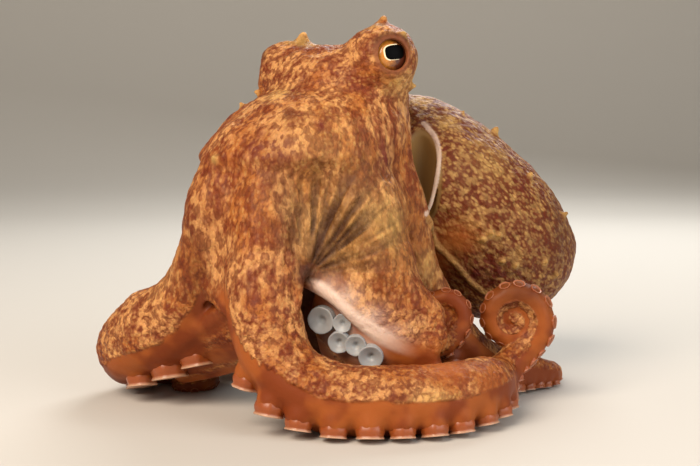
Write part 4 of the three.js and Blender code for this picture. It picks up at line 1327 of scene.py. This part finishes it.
def mottled_skin(settings):
    """Living octopus skin: soft wet flesh with pigment cells in a net. It gives the eye an apricot
    ground, red-brown net and cream flecks under a faint wet sheen, broken up by fine granules."""
    material, tree, shader = new_material(
        "octopus_mottled_skin", Roughness=0.56, IOR=1.38, Specular_IOR_Level=0.28, Coat_Weight=0.05,
        Coat_Roughness=0.3, Subsurface_Weight=0.1, Subsurface_Radius=(1.0, 0.35, 0.15),
        Subsurface_Scale=1.2 * MM,
    )
    place = add_node(tree, "Attribute", {"attribute_name": "grain"}).outputs["Vector"]
    wander = add_node(tree, "TexNoise", Vector=place, Scale=1 / (WARP_SIZE * MM), Detail=2).outputs["Color"]
    scaled = {"operation": "MULTIPLY_ADD"}
    product = {"operation": "MULTIPLY"}
    place = add_node(tree, "VectorMath", scaled, _0=wander, _1=(WARP * MM,) * 3, _2=place).outputs[0]
    amounts = {}
    for key, (kind, kept, output, size, low, high) in PATTERNS.items():
        texture = add_node(tree, kind, kept, Vector=place, Scale=1 / (size * MM))
        soft = {"interpolation_type": "SMOOTHSTEP"}
        ranged = add_node(tree, "MapRange", soft, Value=texture.outputs[output], From_Min=low, From_Max=high)
        amounts[key] = ranged.outputs["Result"]
    for key in sorted({key for layer in LAYERS for key in layer[2:]} - set(PATTERNS) | {"smooth"}):
        amounts[key] = add_node(tree, "Attribute", {"attribute_name": key}).outputs["Fac"]
    colour = tuple(settings.tan)
    for tint, amount, *keys in LAYERS:
        for key in keys:
            amount = add_node(tree, "Math", product, _0=amount, _1=amounts[key]).outputs[0]
        colour = add_node(tree, "MixRGB", _0=amount, _1=colour, _2=tuple(getattr(settings, tint))).outputs[0]
    tree.links.new(colour, shader.inputs["Base Color"])
    height = add_node(tree, "Math", scaled, _0=amounts["fine"], _1=BUMP_FINE, _2=amounts["pebble"]).outputs[0]
    rough = add_node(tree, "Math", scaled, _0=amounts["smooth"], _1=-BUMP_SMOOTHED, _2=1.0).outputs[0]
    height = add_node(tree, "Math", product, _0=height, _1=rough).outputs[0]
    bump = add_node(tree, "Bump", Height=height, Strength=BUMP_STRENGTH, Distance=BUMP_HEIGHT * MM)
    tree.links.new(bump.outputs[0], shader.inputs["Normal"])
    return material


# ---- operators ----

GRANULE_SIZE = 2.6
GRANULE_MIDDLE = 0.4  # the height of a granule's flank, which stays where the skin is
SWELLINGS = ((0.4, 6, 8), (0.22, 3.2, 9))  # height, size, seed
FLESH_NODES = (
    ["mantle", "arm_crown", "head", "horn_left", "horn_right", "funnel"]
    + [f"arm_{name}_{length}" for name in ARM_ORDER for length in ("base", "middle", "outer", "tip")]
    + [f"web_{row[0]}_{row[1]}" for row in WEBS]
)


class OCTOPUS_OT_skin(bpy.types.Operator):
    """Add the animal's skin as one closed surface"""

    bl_idname = "octopus.skin"
    bl_label = "Skin"

    def execute(self, context):
        settings = context.scene.octopus_skin
        lines = {name: arm_line(name) for name in ARM_ORDER}
        field = build_field(settings.step, lines)
        points, quads = largest_piece(*field.polygons())
        normals = corner_normals(points, quads)
        zones, waves = skin_zones(points, normals, field, lines)
        rough = 1 - zones["smooth"]
        tall = zones["grain"] / MM
        relief = settings.granule * rough * (granules(tall, GRANULE_SIZE, 3) - GRANULE_MIDDLE)
        for height, size, seed in SWELLINGS:
            relief += height * rough * noise(tall, size, seed)
        relief += settings.fold * zones["gathered"] * waves
        relief *= fade("floor", points[:, 2])
        placed = points + normals * relief[:, None]
        placed[:, 2] = np.maximum(placed[:, 2], 0)
        skin = add_mesh("octopus_skin", placed, quads, [mottled_skin(settings)], attributes=zones)
        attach(skin, "root")
        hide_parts(*FLESH_NODES)
        return {"FINISHED"}


# A sucker's outline, root to cup, in its own radii: distance from its axis, height from its rim.
SUCKER_OUTLINE = [
    (0.0, -1.6), (0.5, -1.5), (0.84, -1.15), (1.0, -0.85), (1.05, -0.55), (1.0, -0.32), (0.94, -0.2),
    (0.97, -0.1), (1.02, -0.03), (1.0, 0.03), (0.92, 0.02), (0.74, -0.1), (0.5, -0.2), (0.3, -0.27),
    (0.22, -0.42), (0.1, -0.55), (0.0, -0.58),
]
SUCKER_SIDES = 28
CUP_FROM = 6  # the outline's first point of the pale rim
RIM_RUFFLED = 0.9  # the outline is ruffled where it is wider than this
RUFFLES = ((0.035, 5), (0.03, 9))  # how deep, how many round a sucker
SIZES_FROM_TO = (0.93, 1.05)  # no two suckers are the same size
SMALL = 2.4  # suckers that are smaller than this, mm, are hardly paler than their arm
SMALL_TONE = 0.2
FOLD_TONE = 0.9  # how much of the shaded colour those in the fold have
FOLD_CALM = 0.7  # how much less ruffled that makes them
FOLD_RAISED = 0.5  # they stand this many radii out from their places
FOLD_ALONG = np.array([0.3, -0.2, 1])


class OCTOPUS_OT_suckers(bpy.types.Operator):
    """Add the single row of suckers along every arm"""

    bl_idname = "octopus.suckers"
    bl_label = "Suckers"

    def execute(self, context):
        settings = context.scene.octopus_suckers
        rng = np.random.default_rng(4)
        outline = np.array(SUCKER_OUTLINE)
        angle = round_trip(SUCKER_SIDES)
        rows = []
        for name in ARM_ORDER:
            for row in sucker_row(name, arm_line(name)):
                rows.append((*row, SMALL_TONE if row[3] < SMALL else 1.0, 0))
        for place, (*_, radius, way) in zip(at_depth([row[:3] for row in FOLD_SUCKERS]), FOLD_SUCKERS):
            out = unit(way)
            rim = place + out * radius * FOLD_RAISED
            rows.append((rim, out, unit(np.cross(out, FOLD_ALONG)), radius, 1.0, FOLD_TONE))
        points, quads, cup, folded = [], [], [], []
        for rim, out, along, radius, tone, shaded in rows:
            side = np.cross(out, along)
            ruffle = 1
            for depth, count in RUFFLES:
                depth = depth * (1 - FOLD_CALM * shaded)
                ruffle = ruffle + depth * np.sin(angle * count + rng.uniform(0, 6))
            size = radius * rng.uniform(*SIZES_FROM_TO)
            ring = along * np.cos(angle)[:, None] + side * np.sin(angle)[:, None]
            wide = outline[:, 0:1] * np.where(outline[:, 0:1] > RIM_RUFFLED, ruffle[None], 1)
            grid = rim + size * (ring[None] * wide[..., None] + out * outline[:, 1][:, None, None])
            mesh = loft(grid, close=False)
            quads.append(mesh[1] + sum(len(part) for part in points))
            points.append(mesh[0])
            paler = smooth_step(CUP_FROM, CUP_FROM + 2, np.arange(len(outline)))
            cup.append(np.repeat(np.maximum(paler * tone, shaded), len(angle)))
            folded.append(np.full(len(mesh[0]), shaded))
        points = np.concatenate(points)
        points[:, 2] = np.maximum(points[:, 2], 0)
        zones = {"cup": np.concatenate(cup), "folded": np.concatenate(folded)}
        piece = add_mesh("suckers", points, np.concatenate(quads), [sucker_flesh(settings)], attributes=zones)
        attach(piece, "root")
        return {"FINISHED"}


def sucker_flesh(settings):
    """The firm flesh of a sucker, smooth and a little wet: orange at its root, paler at rim and cup."""
    material, tree, shader = new_material(
        "octopus_sucker_flesh", Roughness=0.38, Subsurface_Weight=0.2, Subsurface_Radius=(1.0, 0.5, 0.3),
        Subsurface_Scale=1.5 * MM,
    )
    cup = add_node(tree, "Attribute", {"attribute_name": "cup"}).outputs["Fac"]
    colour = add_node(tree, "MixRGB", _0=cup, _1=tuple(settings.root), _2=tuple(settings.cup))
    folded = add_node(tree, "Attribute", {"attribute_name": "folded"}).outputs["Fac"]
    colour = add_node(tree, "MixRGB", _0=folded, _1=colour.outputs[0], _2=tuple(settings.folded))
    tree.links.new(colour.outputs[0], shader.inputs["Base Color"])
    return material


EYE_SIDES = 64
PUPIL_SET = (1.0, 0.9)  # how far the pupil sits off the opening's middle, as one looks at it: right, up
PUPIL_LEAN = 8  # degrees
PUPIL_SQUARE = 3  # 2 would be an oval, more is squarer
PUPIL_STEPS = (0, 0.5, 0.85, 1.0, 1.06, 1.13)  # rings, in sizes of the pupil
PUPIL_RINGS = 3  # the first ring of the painted highlight at the pupil's edge
EDGE_END = 5  # and the ring where it ends
EYE_COVERED = 1.12  # the iris reaches this many times the opening's radius
EYE_RINGS = 11  # from the pupil to there, and again to the back of the ball
# Where the painted highlight runs round the pupil: towards an angle, as far as its cosine is above a limit.
GLINT = (2.5, 0.1)
GLINT_BELOW = (4.3, 0.75)
GOLD_TOWARDS = 2.9  # the angle at which the iris is the most golden and, as painted light, the most lit
IRIS_FIBRE = 0.9  # size of the specks in the iris, mm
IRIS_UNEVEN = 0.6  # how much they add
IRIS_RANGE = (0.6, 1.25)  # what comes out brown, and gold


class OCTOPUS_OT_eyes(bpy.types.Operator):
    """Add both eyes, each with its slot of a pupil"""

    bl_idname = "octopus.eyes"
    bl_label = "Eyes"

    def execute(self, context):
        settings = context.scene.octopus_eyes
        wet = {"Coat_Weight": 0.5, "Coat_Roughness": 0.05}
        # The pupil is a hole into a dark eye: the blackest thing on the animal, with no shine of its own.
        black = linear("020202")
        materials = [new_material("octopus_pupil", Base_Color=black, Roughness=0.5, Specular_IOR_Level=0.05)]
        # A painted highlight: a thin bright arc on the pupil's upper and left edge, a little below too, which
        # makes the pupil's shape plain.
        edge = tuple(settings.glint)
        materials.append(new_material("octopus_pupil_edge", Base_Color=edge, Roughness=0.2, **wet))
        materials.append(iris_material(settings))
        # The ball's side, under the lids: dark wet flesh as painted shade, so that no white shows in the gap
        # at the lids' edge.
        dark = tuple(settings.brown)
        materials.append(new_material("octopus_eye_side", Base_Color=dark, Roughness=0.3, **wet))
        materials = [material for material, *_ in materials]
        for side in BROWS:
            points, quads, kinds, glow = eye_ball(side, settings)
            eye = add_mesh(f"eyeball_{side}", points, quads, materials, kinds, {"glow": glow})
            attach(eye, "root")
            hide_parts(f"eye_{side}")
        return {"FINISHED"}


def eye_ball(side, settings):
    """An eyeball as rings from the pupil's middle to the back, the material of each face and its gold, partly
    painted light.
    """
    centre, axis = eye_centre(side)
    level = unit(np.cross(UP, axis))
    top = np.cross(axis, level)
    angle = round_trip(EYE_SIDES)
    lean = math.radians(PUPIL_LEAN)
    wide, high = settings.pupil_width / 2 / MM, settings.pupil_height / 2 / MM
    power = PUPIL_SQUARE
    slot = (np.abs(np.cos(angle) / wide) ** power + np.abs(np.sin(angle) / high) ** power) ** (-1 / power)
    outline = np.column_stack([np.cos(angle + lean), np.sin(angle + lean)])
    rings = [PUPIL_SET + outline * (slot * scale)[:, None] for scale in PUPIL_STEPS]
    edge = EYE_OPENING * EYE_COVERED
    shares = np.linspace(0, 1, EYE_RINGS + 1)[1:]
    last = rings[-1]
    rings += [last * (1 - t) + outline * edge * t for t in shares]
    ahead = [np.sqrt(np.maximum(EYE_BALL_RADIUS**2 - np.sum(ring**2, axis=1), 0)) for ring in rings]
    covered = len(rings) - 1
    start = math.asin(edge / EYE_BALL_RADIUS)
    for polar in start + (math.pi - start) * shares:
        rings.append(outline * EYE_BALL_RADIUS * math.sin(polar))
        ahead.append(np.full(EYE_SIDES, EYE_BALL_RADIUS * math.cos(polar)))
    flat = np.array(rings)
    grid = centre + flat[..., 0:1] * level + flat[..., 1:2] * top + axis * np.array(ahead)[..., None]
    points, quads = loft(grid, close=False)
    row = np.repeat(np.arange(len(flat) - 1), EYE_SIDES)
    column = np.tile(angle, len(flat) - 1)
    glint = np.cos(column - GLINT[0]) > GLINT[1]
    glint |= (row < EDGE_END - 1) & (np.cos(column - GLINT_BELOW[0]) > GLINT_BELOW[1])
    kinds = np.where((row < EDGE_END) & glint, 1, np.where(row < covered, 2, 3))
    kinds = np.where(row < PUPIL_RINGS, 0, kinds)
    glow = np.tile(0.5 + 0.5 * np.cos(angle - GOLD_TOWARDS), len(flat))
    return points, quads, kinds, glow


def iris_material(settings):
    """An octopus iris: wet, with gold and red-brown pigment; it darkens towards the right partly as pigment
    and partly as painted shade.
    """
    material, tree, shader = new_material("octopus_iris", Roughness=0.3, Coat_Weight=0.6, Coat_Roughness=0.05)
    glow = add_node(tree, "Attribute", {"attribute_name": "glow"}).outputs["Fac"]
    place = add_node(tree, "TexCoord").outputs["Object"]
    fibre = add_node(tree, "TexNoise", Vector=place, Scale=1 / (IRIS_FIBRE * MM), Detail=3)
    mixed = {"operation": "MULTIPLY_ADD"}
    shade = add_node(tree, "Math", mixed, _0=fibre.outputs[0], _1=IRIS_UNEVEN, _2=glow)
    ramp = add_node(tree, "MapRange", Value=shade.outputs[0], From_Min=IRIS_RANGE[0], From_Max=IRIS_RANGE[1])
    colour = add_node(tree, "MixRGB", _0=ramp.outputs[0], _1=tuple(settings.brown), _2=tuple(settings.gold))
    tree.links.new(colour.outputs[0], shader.inputs["Base Color"])
    return material, tree, shader


# The paper's profile, back and up: y, z in metres.
PAPER = [(-1.2, 0), (0.9, 0), (1.3, 0.06), (1.55, 0.25), (1.65, 0.6), (1.65, 2.2)]
PAPER_HALF = 2.2
PAPER_ROWS = 60
PAPER_LEVEL = 0.9  # the paper is level up to this far back
# Soft square lights: where they stand and how wide they are, in metres.
LIGHTS = {
    "key": ((-0.5, -0.75, 0.75), 0.7),
    "fill": ((0.75, -0.6, 0.45), 0.8),
    "rim": ((0.25, 0.75, 0.7), 0.6),
}
LIT_MIDDLE = Vector((0, 0, 0.06))
WORLD_COLOUR = "E8E6E2"
WORLD_STRENGTH = 0.3
SENSOR = 36


class OCTOPUS_OT_stage(bpy.types.Operator):
    """Add the floor, the soft lights and the camera"""

    bl_idname = "octopus.stage"
    bl_label = "Stage"

    def execute(self, context):
        settings = context.scene.octopus_stage
        profile = spline([(0, y, z) for y, z in PAPER], PAPER_ROWS)[0]
        points = np.stack([profile - [PAPER_HALF, 0, 0], profile + [PAPER_HALF, 0, 0]], axis=1).reshape(-1, 3)
        points[:, 2] = np.where(points[:, 1] < PAPER_LEVEL, 0, np.maximum(points[:, 2], 0))
        index = np.arange(len(profile) - 1) * 2
        quads = np.stack([index, index + 1, index + 3, index + 2], axis=1)
        # Matt background paper: it gives the eye a soft shadow and no reflection.
        paper, *_ = new_material("studio_paper", Base_Color=tuple(settings.paper), Roughness=0.9)
        floor = add_mesh("studio_floor", points / MM - shift(), quads, [paper])
        floor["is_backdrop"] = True
        for name, (place, size) in LIGHTS.items():
            data = bpy.data.lights.new(name, "AREA")
            data.shape = "SQUARE"
            data.size = size
            data.energy = getattr(settings, name)
            if name == "key":
                data.color = settings.warmth[:3]
            light = bpy.data.objects.new(name, data)
            light.location = place
            light.rotation_euler = (LIT_MIDDLE - Vector(place)).to_track_quat("-Z", "Y").to_euler()
            context.scene.collection.objects.link(light)
        world = bpy.data.worlds.new("studio")
        world.use_nodes = True
        background = next(n for n in world.node_tree.nodes if n.type == "BACKGROUND")
        background.inputs["Color"].default_value = linear(WORLD_COLOUR)
        background.inputs["Strength"].default_value = WORLD_STRENGTH
        context.scene.world = world
        camera_data = bpy.data.cameras.new("front")
        camera_data.lens = LENS
        camera_data.sensor_width = SENSOR
        camera = bpy.data.objects.new("front", camera_data)
        camera.location = (CAMERA + shift()) * MM
        camera.rotation_euler = (math.radians(90 - CAMERA_TILT), 0, 0)
        context.scene.collection.objects.link(camera)
        context.scene.camera = camera
        context.scene.view_settings.view_transform = "Standard"
        return {"FINISHED"}


class OCTOPUS_PT_panel(bpy.types.Panel):
    """The pieces of the octopus"""

    bl_idname = "OCTOPUS_PT_panel"
    bl_label = "Resting octopus"
    bl_space_type = "VIEW_3D"
    bl_region_type = "UI"
    bl_category = "Octopus"

    def draw(self, context):
        for name, operator in zip(GROUPS, OPERATORS):
            settings = getattr(context.scene, name)
            box = self.layout.box()
            for key in settings.bl_rna.properties.keys():
                if key not in ("rna_type", "name"):
                    box.prop(settings, key)
            box.operator(operator.bl_idname)


OPERATORS = (OCTOPUS_OT_skin, OCTOPUS_OT_suckers, OCTOPUS_OT_eyes, OCTOPUS_OT_stage)
GROUPS = {
    "octopus_skin": OctopusSkin,
    "octopus_suckers": OctopusSuckers,
    "octopus_eyes": OctopusEyes,
    "octopus_stage": OctopusStage,
}
CLASSES = (*GROUPS.values(), *OPERATORS, OCTOPUS_PT_panel)


def register():
    for cls in CLASSES:
        bpy.utils.register_class(cls)
    for name, group in GROUPS.items():
        setattr(bpy.types.Scene, name, bpy.props.PointerProperty(type=group))


def unregister():
    for name in GROUPS:
        delattr(bpy.types.Scene, name)
    for cls in reversed(CLASSES):
        bpy.utils.unregister_class(cls)


def main():
    register()
    bpy.ops.octopus.skin()
    bpy.ops.octopus.suckers()
    bpy.ops.octopus.eyes()
    bpy.ops.octopus.stage()
    boxes = {"cad": CAD_BOX, "visual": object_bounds()}
    boxes = {key: [list(corner) for corner in box] for key, box in boxes.items()}


if __name__ == "__main__":
    main()
